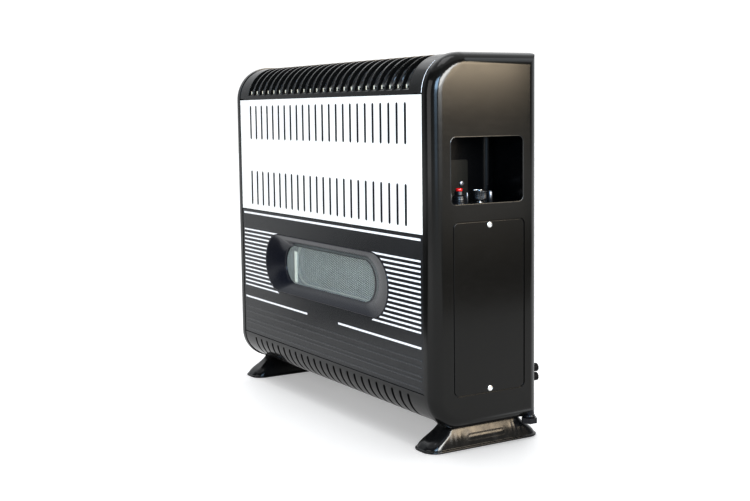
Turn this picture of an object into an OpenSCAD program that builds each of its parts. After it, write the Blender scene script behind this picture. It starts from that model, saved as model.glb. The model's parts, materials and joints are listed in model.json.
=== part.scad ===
// Flued gas convector heater on two feet, with wall fixings at the back.
// Millimetres. x = 0 is the middle of the width, z = 0 is the floor,
// and y runs from the front (negative) to the back.

/* [Casing] */
// Width of the two front panels
panel_w = 740; // [640:10:900]
// Width of each end cheek
cheek_w = 30; // [28:1:40]
// Depth of the casing, front plane to back
body_depth = 230; // [226:2:260]
// Height of the lowest grille face above the floor
ground_gap = 44; // [42:1:60]
// Height of the dark lower panel
lower_panel_h = 279.5; // [270:0.5:320]
// Height of the white upper panel
upper_panel_h = 240.5; // [235:0.5:300]
// Radius of the top grille's front curve
top_r = 70; // [60:1:90]
// Radius of the bottom grille's front curve
bottom_r = 60; // [50:1:70]
// Radius of the rounded rim round each cheek
rim_r = 22; // [16:1:26]
// Radius of the cheek's two rear corners, seen from the side
rear_corner_r = 10; // [4:1:16]
// How far the cheeks stand above the top grille
cheek_proud_top = 2; // [0.5:0.5:4]
// How far the cheeks reach below the bottom grille
cheek_proud_bottom = 4; // [1:0.5:6]
// Wall of the cheek shells
cheek_t = 2; // [1.5:0.1:3]
// Sheet of the front panels
panel_t = 1.2; // [0.8:0.1:1.5]
// Depth of the folded edges of the front panels
panel_fold = 8; // [6:0.5:8]
// How far the panels lie behind the cheeks' front
panel_recess = 1; // [0.5:0.1:1.5]
// Seam between the two panels
seam = 1.5; // [0.5:0.1:3]
// Seam under the lower panel
low_seam = 3; // [1:0.5:5]

/* [Panel slots] */
// Slots in one row
slot_count = 24; // [12:1:28]
// Distance from slot to slot
slot_pitch = 27.46; // [20:0.02:29]
// Width of a slot
slot_w = 7; // [3:0.5:10]
// Length of a slot in the upper row
slot_len_top = 73; // [50:1:90]
// Length of a slot in the lower row
slot_len_low = 74; // [50:1:90]
// Top of the upper row, below the panel's top edge
slot_row_top = 12.5; // [8:0.5:20]
// Bottom of the lower row, above the panel's bottom edge
slot_row_low = 12; // [8:0.5:20]
// Height of each embossed line on the lower panel
ridge_h = 3; // [1:0.5:6]

/* [Grilles] */
// Depth of the grille ribs
rib_depth = 8; // [5:0.5:9]
// Width of one rib
rib_w = 5; // [3:0.5:10]
// Height of the plain lip in front of the ribs
lip_h = 8; // [5:0.5:14]
// Flat part of a grille behind its slots
grille_tail = 15; // [10:1:25]
// Notch at the ends of the top grille's lip
lip_notch_h = 3; // [1:0.5:5]

/* [Window] */
// Radius of the recess at the panel face
recess_r = 60; // [52:1:64]
// Half the distance between its end centres
recess_half = 193; // [180:1:230]
// Radius of the opening at the guard
guard_r = 40; // [34:1:44]
// Half the distance between its end centres
guard_half = 142; // [130:1:170]
// Depth of the recess
recess_depth = 15; // [12:1:18]
// Height of the window centre above the lower panel's bottom
window_z = 173; // [165:1:200]
// Sheet of the bezel
bezel_t = 1.5; // [1:0.1:2]
// Sheet of the guard
guard_t = 1; // [0.8:0.1:1.5]
// Pitch of the guard's diamond holes
guard_pitch = 10.6; // [10.6:0.2:14]
// Web left between the holes
guard_web = 2.4; // [1.5:0.1:4]

/* [Frame] */
// Sheet of the side plates
plate_t = 1.7; // [1.2:0.1:2]
// Sheet of the rails
rail_t = 1.5; // [1:0.1:2]
// Height of the rails behind the panels
rail_h = 28; // [20:1:36]
// Depth of the rails
rail_d = 18; // [14:1:24]
// Width of the base rails, front to back
base_rail_w = 30; // [24:1:40]
// Sheet of the rear panel
rear_t = 1.5; // [1:0.1:2]
// How far the rear panel stands above the top grille
rear_proud = 1; // [0:0.5:2]
// Width of the wall fixing pattern
wall_fix_x = 600; // [500:10:640]
// Height of the wall fixing pattern
wall_fix_z = 460; // [400:10:480]
// Radius of the wall fixing holes
wall_fix_r = 4; // [3:0.5:5]

/* [Feet] */
// Length of a foot on the floor
foot_len = 245; // [235:1:260]
// Width of a foot on the floor
foot_w = 67; // [60:1:70]
// Distance of a foot's middle inside the ends of the front panels
foot_x = 16.5; // [16:0.5:20]
// Thickness of the rim round a foot
foot_rim_t = 3; // [2:0.5:5]
// Width of that rim
foot_rim_w = 4; // [2:0.5:6]
// Width of a foot's top
foot_top_w = 40; // [36:1:44]
// Front end of a foot's top, behind the front plane
foot_top_y0 = 45; // [40:1:55]
// Rear end of a foot's top
foot_top_y1 = 207; // [202:1:207]
// Radius of the foot bolts
foot_bolt_r = 3; // [2.5:0.5:4]

/* [Control niche] */
// Front edge of the niche opening
niche_y = 39; // [34:1:44]
// Width of the niche opening
niche_w = 154; // [148:1:158]
// Bottom edge of the niche above the lower panel's bottom
niche_z = 331.5; // [329:0.5:345]
// Height of the niche opening
niche_h = 115; // [100:1:130]
// Corner radius of the niche opening
niche_r = 10; // [6:1:14]
// Depth of the niche, from the cheek's face
niche_depth = 105; // [90:1:108]
// How far the pocket's floor lies below the opening
niche_sill = 5.5; // [3:0.5:8]
// Sheet of the pocket
pocket_t = 1.5; // [1:0.1:2]
// Radius of the pocket's inner corners
pocket_r = 16; // [8:1:22]

/* [Access cover] */
// Front edge of the cover
cover_y = 43.6; // [42:0.2:46]
// Width of the cover
cover_w = 152.4; // [146:0.2:154]
// Bottom edge of the cover, from the lower panel's bottom
cover_z = -3.5; // [-5:0.5:0]
// Height of the cover
cover_h = 304.5; // [290:0.5:306]
// Corner radius of the cover
cover_r = 10; // [6:1:14]
// Seam round the cover
cover_seam = 0.8; // [0.4:0.1:1.5]
// Thickness of the cover
cover_t = 2; // [1.5:0.1:2.5]
// Distance of the cover's screws from its ends
cover_screw_inset = 7.2; // [6:0.2:9]
// Radius of the dome screw heads
screw_head_r = 5.5; // [4:0.25:6]
// Radius of the screw shanks
screw_r = 2; // [1.5:0.25:2.5]

/* [Controls] */
// Distance of the knob's axis inside the cheek's face
control_in = 50; // [48:1:56]
// Knob axis behind the niche's front edge
knob_y = 95.6; // [93:0.2:100]
// Button axis behind the niche's front edge
button_y = 51; // [46:1:52]
// Radius of the knob
knob_r = 13; // [12:0.5:14]
// Height of the knob
knob_h = 18; // [16:0.5:20]
// Clearance under the knob
knob_gap = 7; // [6:0.5:8]
// Travel of the knob when it is pushed
knob_travel = 4; // [2:0.5:4]
// Radius of the valve spindle
spindle_r = 3; // [2.5:0.25:3.5]
// Running clearance of the spindle and the knob's bore
run_gap = 0.05; // [0.02:0.01:0.1]
// Radius of the igniter button
button_r = 6.2; // [5:0.2:7]
// Height of the button above its collar
button_proud = 5; // [4.5:0.5:7]
// Travel of the button
button_travel = 4; // [2:0.5:4]
// Radius of the igniter's skirt
igniter_r = 12; // [10:0.5:12]
// Height of the igniter above the niche floor
igniter_h = 25; // [20:1:28]

/* [Firebox] */
// Room between each side of the firebox and the end of the front panels
firebox_side = 100; // [95:1:110]
// Lower edge of the firebox above the lower panel's bottom
firebox_z = 66; // [60:1:80]
// Height of the firebox
firebox_h = 430; // [420:5:440]
// Front face of the firebox behind the front plane
firebox_y = 47; // [46:1:50]
// Depth of the front shell
front_shell_d = 57; // [55:1:60]
// Depth of the rear shell
rear_shell_d = 56; // [52:1:58]
// Sheet of the firebox
firebox_t = 1.5; // [1.2:0.1:2]
// Width of the flange between the shells
flange_w = 12; // [10:1:14]
// Thickness of the window glass
glass_t = 4; // [3:0.5:5]
// Thickness of the glass gasket
gasket_t = 3; // [2:0.5:4]
// Thickness of the glass frame
frame_t = 3; // [2:0.5:4]
// Radius of the burner tube
burner_r = 19; // [16:1:20]
// Height of the burner axis in the firebox
burner_up = 35; // [34:1:40]

/* [Flue] */
// Height of the flue axis above the lower panel's bottom
flue_z = 416; // [405:1:420]
// Radius of the exhaust pipe
exhaust_r = 50; // [40:1:52]
// Radius of the air intake pipe
intake_r = 75; // [68:1:80]
// Sheet of both pipes
pipe_t = 1.2; // [0.8:0.1:1.5]
// How far the exhaust pipe stands out behind the casing
exhaust_out = 32; // [28:1:60]
// How far the intake pipe stands out behind the casing
intake_out = 26; // [20:1:27]

/* [Gas inlet] */
// Distance of the inlet axis inside the cheek's face
inlet_in = 8.5; // [7.5:0.5:14]
// Distance of the inlet axis from the back
inlet_back = 16; // [15:0.5:18]
// Radius of the inlet pipe inside the heater
inlet_r = 4; // [3:0.5:5]
// Distance of the inlet pipe's upright run inside the cheek's face
inlet_run_in = 18; // [14:1:24]
// Width across the flats of the union nut
nut_af = 26; // [24:0.5:28]
// Height of the union nut
nut_h = 9.6; // [9:0.2:12]
// Radius of the nut's bore for the gas supply pipe
supply_r = 4.1; // [3.1:0.5:5.1]
// Length of that bore
supply_len = 8; // [6:0.5:8.5]

/* [Wall spacers] */
// Radius of a spacer pad
spacer_r = 7.7; // [6:0.1:9]
// How far the pads stand out behind the casing
spacer_out = 18; // [10:1:24]
// Height of the lower pad above the lower panel's bottom
spacer_z = 4; // [0:1:10]

/* [Hidden] */
$fn = 48;
eps = 0.01;
over = 5;                       // overshoot of cutting shapes
seat = 0.3;                     // clearance of a piece on its seat

// colours, as the photograph shows them
black_gloss = [0.05, 0.05, 0.055];
anthracite = [0.20, 0.21, 0.23];
cream = [0.93, 0.92, 0.88];
zinc = [0.62, 0.63, 0.64];
enamel = [0.30, 0.30, 0.31];
steel = [0.75, 0.76, 0.77];
brass = [0.80, 0.65, 0.35];
copper = [0.78, 0.45, 0.30];
ceramic = [0.90, 0.89, 0.85];
fibre = [0.80, 0.78, 0.70];
red = [0.80, 0.06, 0.05];

// casing
x_panel = panel_w / 2;
x_side = x_panel + cheek_w;
z_low = ground_gap + bottom_r;
z_split = z_low + lower_panel_h;
z_up = z_split + upper_panel_h;
z_top = z_up + top_r;
cheek_z0 = ground_gap - cheek_proud_bottom;
cheek_z1 = z_top + cheek_proud_top;
cheek_r_top = top_r + cheek_proud_top;
cheek_r_low = bottom_r + cheek_proud_bottom;
side_gap = 0.3;                 // clearance of panels and grilles to the cheeks
x_fit = x_panel - side_gap;
y_face = panel_recess;
y_sheet = y_face + panel_t;
y_fold = y_face + panel_fold;
y_frame = y_fold + seat;
rear_y0 = body_depth - rear_t;
total_depth = body_depth + exhaust_out;

// side plates and rails
plate_x1 = x_fit - panel_t - seat;
plate_x0 = plate_x1 - plate_t;
grille_top_z = z_top - rib_depth;
grille_low_z = ground_gap + rib_depth;
plate_z0 = grille_low_z + rail_t + seat;
plate_z1 = grille_top_z - rear_t - seat;
tail_y = rear_y0 - 23.5;        // rear edge of both grilles

// niche, pocket and cover
niche_z0 = z_low + niche_z;
niche_z1 = niche_z0 + niche_h;
niche_y1 = niche_y + niche_w;
pocket_lap = 3;                 // opening's lip in front of the pocket walls
pocket_x0 = x_side - niche_depth;
pocket_y0 = niche_y - pocket_lap;
pocket_y1 = niche_y1 + pocket_lap;
pocket_z0 = niche_z0 - niche_sill;
pocket_z1 = niche_z1 + pocket_lap;
wall_x = x_side - cheek_t;      // inner face of the cheek's side
cover_z0 = z_low + cover_z;
cover_z1 = cover_z0 + cover_h;
cover_y1 = cover_y + cover_w;
cover_sink = 0.5;
cover_x1 = x_side - cover_sink;
cover_x0 = cover_x1 - cover_t;
ledge_t = 2;
ledge_out = 7;                  // ledge outside the cover's edge
ledge_in = 14;                  // ledge under the cover's edge
cover_mid_y = cover_y + cover_w / 2;
cover_screw_z = [cover_z0 + cover_screw_inset, cover_z1 - cover_screw_inset];
cut_y0 = pocket_y0 - pocket_t - 3;      // cut-out of the right side plate
cut_y1 = pocket_y1 + pocket_t + 3;
cut_z1 = pocket_z1 + pocket_t + 12;

// firebox
firebox_w = panel_w - 2 * firebox_side;
fb_x = firebox_w / 2;
fb_z0 = z_low + firebox_z;
fb_z1 = fb_z0 + firebox_h;
fb_r = 20;
join_y = firebox_y + front_shell_d;
fb_y1 = join_y + rear_shell_d;
cut_z0 = fb_z0 + 45;
glass_y1 = firebox_y - gasket_t;
glass_y0 = glass_y1 - glass_t;
frame_y0 = glass_y0 - frame_t;
win_z = z_low + window_z;
fire_win_r = guard_r + 4;
fire_win_half = guard_half;
glass_lap = 8;
guard_y0 = y_face + recess_depth;
guard_lap = 7;
tab_out = 8.5;                  // stiffening tabs of the guard, outside its straight part
tab_in = 4.5;                   // from the opening's edge to a tab's end
tab_d = 9;

// burner group on the right wall of the firebox
burner_y = firebox_y + 33;
burner_z = fb_z0 + burner_up;
neck_r = 14;
port_y = [burner_y - 22, burner_y + 18];
port_z = [fb_z0 + 4, fb_z0 + 68];
bflange_t = 2;
bflange_x = fb_x + bflange_t;
injector_x = [fb_x + 14, fb_x + 30];
pilot_x = fb_x - 55;
pilot_y = firebox_y + firebox_t + 8.5;
thermo_x = fb_x - 42;
spark_x = fb_x - 30;
probe_y = pilot_y;
lead_r = 1.6;
capillary_r = 1.2;
capillary_y = burner_y + 10;    // thermocouple's way through the flange
capillary_z = fb_z0 + 10;
pilot_in_y = pilot_y + 5.5;     // pilot pipe's way through the flange
pilot_in_z = burner_z + 25;
pilot_pipe_r = 2;
burner_pipe_r = 4;
sensor_r = 4;
sensor_len = 61;

// controls
ctl_x = x_side - control_in;
knob_pos_y = niche_y + knob_y;
button_pos_y = niche_y + button_y;
floor_z = pocket_z0;
under_z = pocket_z0 - pocket_t;
neck_valve_r = spindle_r + 3;
neck_top = floor_z + 4;
nut_t = 3.5;
knob_z0 = floor_z + knob_gap;
knob_z1 = knob_z0 + knob_h;
spindle_top = knob_z1 - knob_travel - 3;
valve_w = 48;
valve_d = 60;
valve_h = 76;
valve_x1 = ctl_x + 20;
valve_x0 = valve_x1 - valve_w;
valve_y0 = knob_pos_y - valve_d / 2;
valve_z1 = under_z - seat;
valve_z0 = valve_z1 - valve_h;
outlet_y = knob_pos_y - 4;      // valve's outlet to the burner
outlet_z = valve_z0 + 23;
outlet_run_x = valve_x0 - 12;
pilot_out_y = knob_pos_y - 18;  // valve's outlet to the pilot
pilot_out_z = valve_z0 + 8;
pilot_run_x = valve_x0 - 6;
pilot_drop_z = valve_z0 - 50;
capillary_x = valve_x0 + 14;    // capillaries' way down from the valve
igniter_top = floor_z + igniter_h;
collar_h = 5;
button_top = igniter_top + button_proud;
igniter_low = under_z - 43;

// flue
fl_z = z_low + flue_z;
duct_d = 28;
duct_w = 2 * intake_r + 30;
duct_y1 = fb_y1 + duct_d;
duct_z = [fb_z0 + 20, fb_z1 + 5];
seal_t = 12;
seal_w = 17;
shield_y = duct_y1 + 12;
shield_t = 1;
shield_z = [fb_z0 - 20, fb_z1 + 40];
deflector_z = fb_z1 + 20;       // lower edge of the top deflector

// feet
foot_mid_x = x_panel - foot_x;
foot_mid_y = y_face + foot_len / 2;
foot_top_z = cheek_z0 - 1;
foot_bolt_y = [foot_top_y0 + 45, foot_top_y1 - 27];
foot_pad_w = 24;
base_rail_y = [foot_bolt_y[0] - base_rail_w / 2, foot_bolt_y[1] - base_rail_w / 2];
foot_nut_af = 2 * foot_bolt_r + 4;

// gas inlet
in_x = x_side - inlet_in;
in_y = body_depth - inlet_back;
nut_z1 = cheek_z0 - 0.4;
nut_z0 = nut_z1 - nut_h;
in_run_x = x_side - inlet_run_in;
in_jog_z = cheek_z0 + rim_r;
in_turn_z = valve_z0 + 28;
collar_r = inlet_r + 1;         // collar of the inlet pipe on the nut
collar_t = 2.5;
sensor_x1 = valve_x0 - 29;
sensor_y = base_rail_y[1] - sensor_r - seat;
sensor_z = grille_low_z + 18;

// cheek posts, as y and z
post_r = 6;
post_at = [[28, z_low - 19], [150, cheek_z0 + 30], [28, z_up + 21], [200, z_up + 21]];

// ---------- helpers ----------
module body_frame() translate([0, -total_depth / 2, 0]) children();

// a drawing in y and z, made solid from x0 to x1
module along_x(x0, x1) translate([x0, 0, 0]) rotate([90, 0, 90]) linear_extrude(x1 - x0) children();

// a drawing in x and z, made solid from y0 to y1
module along_y(y0, y1) translate([0, y1, 0]) rotate([90, 0, 0]) linear_extrude(y1 - y0) children();

// a drawing in x and y, made solid from z0 to z1
module along_z(z0, z1) translate([0, 0, z0]) linear_extrude(z1 - z0) children();

module box(a, b) translate(a) cube(b - a);

module rod_x(x0, x1, y, z, r) translate([x0, y, z]) rotate([0, 90, 0]) cylinder(h = x1 - x0, r = r);

module rod_y(y0, y1, x, z, r) translate([x, y0, z]) rotate([-90, 0, 0]) cylinder(h = y1 - y0, r = r);

module rod_z(z0, z1, x, y, r) translate([x, y, z0]) cylinder(h = z1 - z0, r = r);

module tube_y(y0, y1, x, z, r, t) difference() {
    rod_y(y0, y1, x, z, r);
    rod_y(y0 - over, y1 + over, x, z, r - t);
}

module round_rect(a, b, r) {
    s = b - a;
    translate(a) {
        translate([r, 0]) square([s[0] - 2 * r, s[1]]);
        translate([0, r]) square([s[0], s[1] - 2 * r]);
        for (x = [r, s[0] - r], y = [r, s[1] - r]) translate([x, y]) circle(r);
    }
}

module stadium(half, r) {
    translate([-half, -r]) square([2 * half, 2 * r]);
    for (s = [-1, 1]) translate([s * half, 0]) circle(r);
}

module window_ring(half, r_out, r_in) difference() {
    stadium(half, r_out);
    stadium(half, r_in);
}

module hex(af, h) cylinder(h = h, r = af / sqrt(3), $fn = 6);

// round bar along straight runs, with a ball at each turn
module run(points, r) {
    for (i = [0 : len(points) - 2]) {
        d = points[i + 1] - points[i];
        flat = norm([d[0], d[1]]);
        translate(points[i]) rotate([0, atan2(flat, d[2]), atan2(d[1], d[0])]) cylinder(h = norm(d), r = r);
    }
    for (i = [1 : len(points) - 2]) translate(points[i]) sphere(r + 0.05);
}

// side outline of the casing, drawn in y and z, set in by i
module side_outline(i, r_top, r_low, r_back, z0, z1, y1) {
    polygon([[i, z0 + r_low], [r_low, z0 + i], [y1 - r_back, z0 + i], [y1 - i, z0 + r_back],
        [y1 - i, z1 - r_back], [y1 - r_back, z1 - i], [r_top, z1 - i], [i, z1 - r_top]]);
    translate([r_low, z0 + r_low]) circle(r_low - i);
    translate([r_top, z1 - r_top]) circle(r_top - i);
    translate([y1 - r_back, z0 + r_back]) circle(r_back - i);
    translate([y1 - r_back, z1 - r_back]) circle(r_back - i);
}

// ---------- cheeks ----------
// band of width w with its outer edge rounded, from the axis out to radius r_all
module rounded_band(r_all, w, r) {
    square([r_all - r, w]);
    square([r_all, w - r]);
    translate([r_all - r, w - r]) intersection() {
        circle(r);
        square(r);
    }
}

// one quarter of a round corner about the x axis, at y and z
module rounded_quarter(x0, y, z, r_all, w, r, turn) translate([x0, y, z]) rotate([0, 90, 0])
    rotate([0, 0, turn]) rotate_extrude(angle = 90, $fn = 96) rounded_band(r_all, w, r);

// the cheek's outer form, set in by i; the inner side starts at x0
module cheek_form(i, x0) {
    w = x_side - i - x0;
    r = rim_r - i;
    rt = cheek_r_top - i;
    rl = cheek_r_low - i;
    y1 = body_depth - i;
    intersection() {
        union() {
            along_z(z_low, z_up) translate([x0, y1]) rotate([0, 0, -90]) {
                square([y1 - i - r, w]);
                square([y1 - i, w - r]);
                translate([y1 - i - r, w - r]) circle(r);
            }
            rounded_quarter(x0, cheek_r_top, z_up, rt, w, r, 180);
            rounded_quarter(x0, cheek_r_low, z_low, rl, w, r, 270);
            along_y(cheek_r_top, y1) translate([x0, z_up]) {
                square([w, rt - r]);
                square([w - r, rt]);
                translate([w - r, rt - r]) circle(r);
            }
            along_y(cheek_r_low, y1) translate([x0, z_low]) {
                translate([0, -rl + r]) square([w, rl - r]);
                translate([0, -rl]) square([w - r, rl]);
                translate([w - r, -rl + r]) circle(r);
            }
        }
        along_z(0, cheek_z1 + over) translate([x0, -over]) {
            square([w, y1 - r + over]);
            square([w - r, y1 + over]);
            translate([w - r, y1 - r + over]) circle(r);
        }
        along_x(x0, x_side + over) side_outline(i, cheek_r_top, cheek_r_low,
            rear_corner_r, cheek_z0, cheek_z1, body_depth);
    }
}

module cheek_shell() {
    difference() {
        cheek_form(0, x_panel);
        cheek_form(cheek_t, x_panel - over);
    }
    for (p = post_at) difference() {
        rod_x(plate_x1, wall_x + eps, p[0], p[1], post_r);
        rod_x(plate_x1 - over, plate_x1 + 12, p[0], p[1], screw_r + run_gap);
    }
}

module cover_window(grow, r) round_rect([cover_y - grow, cover_z0 - grow],
    [cover_y1 + grow, cover_z1 + grow], r);

module right_cheek() color(black_gloss) body_frame() {
    difference() {
        cheek_shell();
        along_x(wall_x - over, x_side + over) round_rect([niche_y, niche_z0], [niche_y1, niche_z1], niche_r);
        along_x(cover_x0, x_side + over) cover_window(cover_seam, cover_r + cover_seam);
        rod_z(0, in_jog_z, in_x, in_y, inlet_r + 1.5);
    }
    difference() {
        union() {
            along_x(cover_x0 - ledge_t, cover_x0) cover_window(ledge_out, cover_r + ledge_out);
            along_x(cover_x0 - eps, wall_x + eps) difference() {
                cover_window(ledge_out, cover_r + ledge_out);
                cover_window(cover_seam, cover_r + cover_seam);
            }
        }
        along_x(cover_x0 - over, x_side) round_rect([cover_y + ledge_in, cover_z0 + ledge_in],
            [cover_y1 - ledge_in, cover_z1 - ledge_in], 4);
        for (z = cover_screw_z) rod_x(cover_x0 - over, x_side, cover_mid_y, z, screw_r + run_gap);
    }
}

module left_cheek() color(black_gloss) body_frame() mirror([1, 0, 0]) cheek_shell();

module access_cover() color(black_gloss) body_frame() difference() {
    along_x(cover_x0, cover_x1) cover_window(0, cover_r);
    for (z = cover_screw_z) rod_x(cover_x0 - over, x_side + over, cover_mid_y, z, screw_r + 0.2);
}

// dome-headed screw along x: the head's seat at x, the shank inwards
module dome_screw(x, y, z, head_r, shank) {
    head_h = head_r * 0.4;
    ball_r = (head_r * head_r + head_h * head_h) / (2 * head_h);
    translate([x, y, z]) difference() {
        rotate([0, 90, 0]) rotate_extrude() intersection() {
            translate([0, head_h - ball_r]) circle(ball_r, $fn = 96);
            square([head_r, head_h]);
        }
        translate([head_h - 0.6, -head_r, -0.5]) cube([1, 2 * head_r, 1]);
    }
    rod_x(x - shank, x + eps, y, z, screw_r);
}

pocket_screw = [pocket_x0 + 1.2, knob_pos_y - 1, floor_z + 34];

module dome_screws() color(steel) body_frame() {
    for (z = cover_screw_z) dome_screw(cover_x1, cover_mid_y, z, screw_head_r, 7);
    dome_screw(pocket_screw[0], pocket_screw[1], pocket_screw[2], 4, 4);
}

// ---------- control pocket ----------
module control_pocket() color(black_gloss) body_frame() difference() {
    union() {
        along_z(pocket_z0 - pocket_t, pocket_z1 + pocket_t) intersection() {
            round_rect([pocket_x0 - pocket_t, pocket_y0 - pocket_t], [x_side + 2 * pocket_r, pocket_y1 + pocket_t],
                pocket_r + pocket_t);
            square([wall_x, body_depth]);
        }
        along_x(wall_x - pocket_t, wall_x) round_rect([pocket_y0 - 8, pocket_z0 - 6],
            [pocket_y1 + 8, pocket_z1 + 8], 6);
    }
    along_z(pocket_z0, pocket_z1) round_rect([pocket_x0, pocket_y0], [x_side + 2 * pocket_r, pocket_y1], pocket_r);
    rod_z(floor_z - over, floor_z + over, ctl_x, knob_pos_y, neck_valve_r + seat);
    rod_z(floor_z - over, floor_z + over, ctl_x, button_pos_y, igniter_r - 3.7);
    rod_x(pocket_x0 - over, pocket_x0 + over, pocket_screw[1], pocket_screw[2], screw_r + run_gap);
}

module pocket_plate() color(anthracite) body_frame() difference() {
    along_x(pocket_x0, pocket_screw[0]) round_rect([pocket_y0 + pocket_r, floor_z + 2],
        [pocket_screw[1] + 14, floor_z + 77], 4);
    rod_x(pocket_x0 - over, pocket_x0 + over, pocket_screw[1], pocket_screw[2], screw_r + 0.2);
}

// ---------- front panels ----------
// sheet with folded edges: outline in x and z
module panel_tray(z0, z1) difference() {
    box([-x_fit, y_face, z0], [x_fit, y_fold, z1]);
    box([-x_fit + panel_t, y_sheet, z0 + panel_t], [x_fit - panel_t, y_fold + over, z1 - panel_t]);
}

module slot_row(z, h) along_y(y_face - over, y_fold + over) for (i = [0 : slot_count - 1])
    translate([(i - (slot_count - 1) / 2) * slot_pitch, z]) {
        translate([-slot_w / 2, slot_w / 2]) square([slot_w, h - slot_w]);
        for (s = [slot_w / 2, h - slot_w / 2]) translate([0, s]) circle(slot_w / 2, $fn = 24);
    }

module upper_front_panel() color(cream) body_frame() difference() {
    panel_tray(z_split + seam / 2, z_up);
    slot_row(z_up - slot_row_top - slot_len_top, slot_len_top);
    slot_row(z_split + slot_row_low, slot_len_low);
}

module lower_front_panel() color(anthracite) body_frame() {
    difference() {
        panel_tray(z_low + low_seam / 2, z_split - seam / 2);
        along_y(y_face - over, y_fold + over) translate([0, win_z]) stadium(recess_half, recess_r + bezel_t + seat);
    }
    for (z = [8, 22, 30, 46, 58]) box([-x_fit + 8, y_face - 0.6, z_low + z], [x_fit - 8, y_face + eps, z_low + z + ridge_h]);
}

// ---------- window ----------
module bezel_cone(grow, y0, y1) hull() {
    along_y(y0, y0 + eps) translate([0, win_z]) stadium(recess_half, recess_r + grow, $fn = 64);
    along_y(y1 - eps, y1) translate([0, win_z]) stadium(guard_half, guard_r + grow, $fn = 64);
}

module window_bezel() color(black_gloss) body_frame() difference() {
    union() {
        bezel_cone(bezel_t, y_face, guard_y0);
        along_y(y_sheet + seat, y_sheet + seat + bezel_t) translate([0, win_z]) stadium(recess_half, recess_r + 8);
        along_y(guard_y0 - bezel_t, guard_y0) translate([0, win_z]) stadium(guard_half, guard_r + guard_lap);
    }
    bezel_cone(0, y_face - eps, guard_y0 + eps);
}

module window_guard() color(steel) body_frame() {
    difference() {
        along_y(guard_y0, guard_y0 + guard_t) translate([0, win_z]) stadium(guard_half, guard_r + guard_lap);
        along_y(guard_y0 - over, guard_y0 + over) translate([0, win_z]) guard_holes();
    }
    for (s = [-1, 1]) translate([s * (guard_half + tab_out) - guard_t / 2, guard_y0 + guard_t - eps, win_z - guard_r + tab_in])
        cube([guard_t, tab_d, 2 * (guard_r - tab_in)]);
}

// diamond holes in staggered rows, kept inside the opening
module guard_holes() {
    side = guard_pitch / sqrt(2) * 1.4 - guard_web;
    row = guard_pitch * 0.7;
    rows = floor((guard_r - side / 2) / row);
    for (j = [-rows : rows]) {
        reach = guard_half + sqrt(guard_r * guard_r - j * row * j * row) - side;
        cols = floor(reach / (guard_pitch * 1.4));
        shift = (abs(j) % 2) * guard_pitch * 0.7;
        for (i = [-cols : cols]) if (abs(i * guard_pitch * 1.4 + shift) < reach)
            translate([i * guard_pitch * 1.4 + shift, j * row]) rotate(45) square(side, center = true);
    }
}

// ---------- grilles ----------
// band in y and z that follows the casing's front curve: up = 1 top, -1 bottom
module grille_band(r, lip_z, up) {
    zc = up > 0 ? z_up : z_low;
    difference() {
        union() {
            translate([y_face + r, zc]) circle(r, $fn = 96);
            translate([y_face + r, up > 0 ? zc : zc - r]) square([tail_y - y_face - r, r]);
        }
        translate([y_face + r, zc]) circle(r - rib_depth, $fn = 96);
        translate([y_face + r, up > 0 ? zc - over : zc - r + rib_depth])
            square([tail_y + over, r - rib_depth + over]);
        translate([y_face - over, up > 0 ? zc - 2 * r : zc]) square([tail_y + 2 * r, 2 * r]);
    }
    if (lip_z != zc) translate([y_face, min(zc, lip_z)]) square([rib_depth, abs(lip_z - zc)]);
}

// one slot between two ribs: its end at the lip slopes inwards
module grille_slot(up) {
    zc = up > 0 ? z_up : z_low;
    y_end = tail_y - grille_tail;
    z_end = up > 0 ? z_top + over : ground_gap - over;
    polygon([[y_face - over, zc + up * (lip_h - over)], [y_face + rib_depth, zc + up * (lip_h + rib_depth)],
        [y_end - rib_depth, zc + up * (lip_h + rib_depth)], [y_end, z_end], [y_face - over, z_end]]);
}

module grille(r, lip_z, up) difference() {
    along_x(-x_fit, x_fit) grille_band(r, lip_z, up);
    for (i = [0 : slot_count - 1]) {
        x = (i - (slot_count - 1) / 2) * slot_pitch;
        along_x(x - (slot_pitch - rib_w) / 2, x + (slot_pitch - rib_w) / 2) grille_slot(up);
    }
}

module top_grille() color(black_gloss) body_frame() difference() {
    grille(top_r, z_up, 1);
    box([-x_fit - over, y_face - over, z_up - over], [-x_fit + 50, y_face + 3, z_up + lip_notch_h]);
    box([x_fit - 24, y_face - over, z_up - over], [x_fit + over, y_face + 3, z_up + lip_notch_h]);
}

module bottom_grille() color(black_gloss) body_frame() difference() {
    grille(bottom_r, z_low - low_seam / 2, -1);
    for (s = [-1, 1], y = foot_bolt_y) rod_z(0, z_low, s * foot_mid_x, y, foot_bolt_r + 0.5);
}

// ---------- rear panel ----------
module rear_panel() color(zinc) body_frame() difference() {
    union() {
        box([-x_fit, rear_y0, ground_gap + 2], [x_fit, body_depth, z_top + rear_proud]);
        box([-plate_x0 + seat, tail_y - 8, grille_top_z - rear_t], [plate_x0 - seat, rear_y0 + eps, grille_top_z]);
        box([-x_fit, tail_y + seat, ground_gap + 2], [x_fit, rear_y0 + eps, ground_gap + 2 + rear_t]);
    }
    rod_y(0, body_depth + over, 0, fl_z, intake_r + 2);
    for (s = [-1, 1], k = [-1, 1]) rod_y(0, body_depth + over, s * wall_fix_x / 2,
        (z_low + z_up) / 2 + k * wall_fix_z / 2, wall_fix_r);
    along_y(rear_y0 - over, body_depth + over) for (s = [-1, 1], i = [0 : 5], z = [z_low + 10, z_up - 10])
        translate([s * (130 + i * 26), z]) {
            translate([-3, -20]) square([6, 40]);
            for (e = [-20, 20]) translate([0, e]) circle(3, $fn = 24);
        }
}

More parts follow.
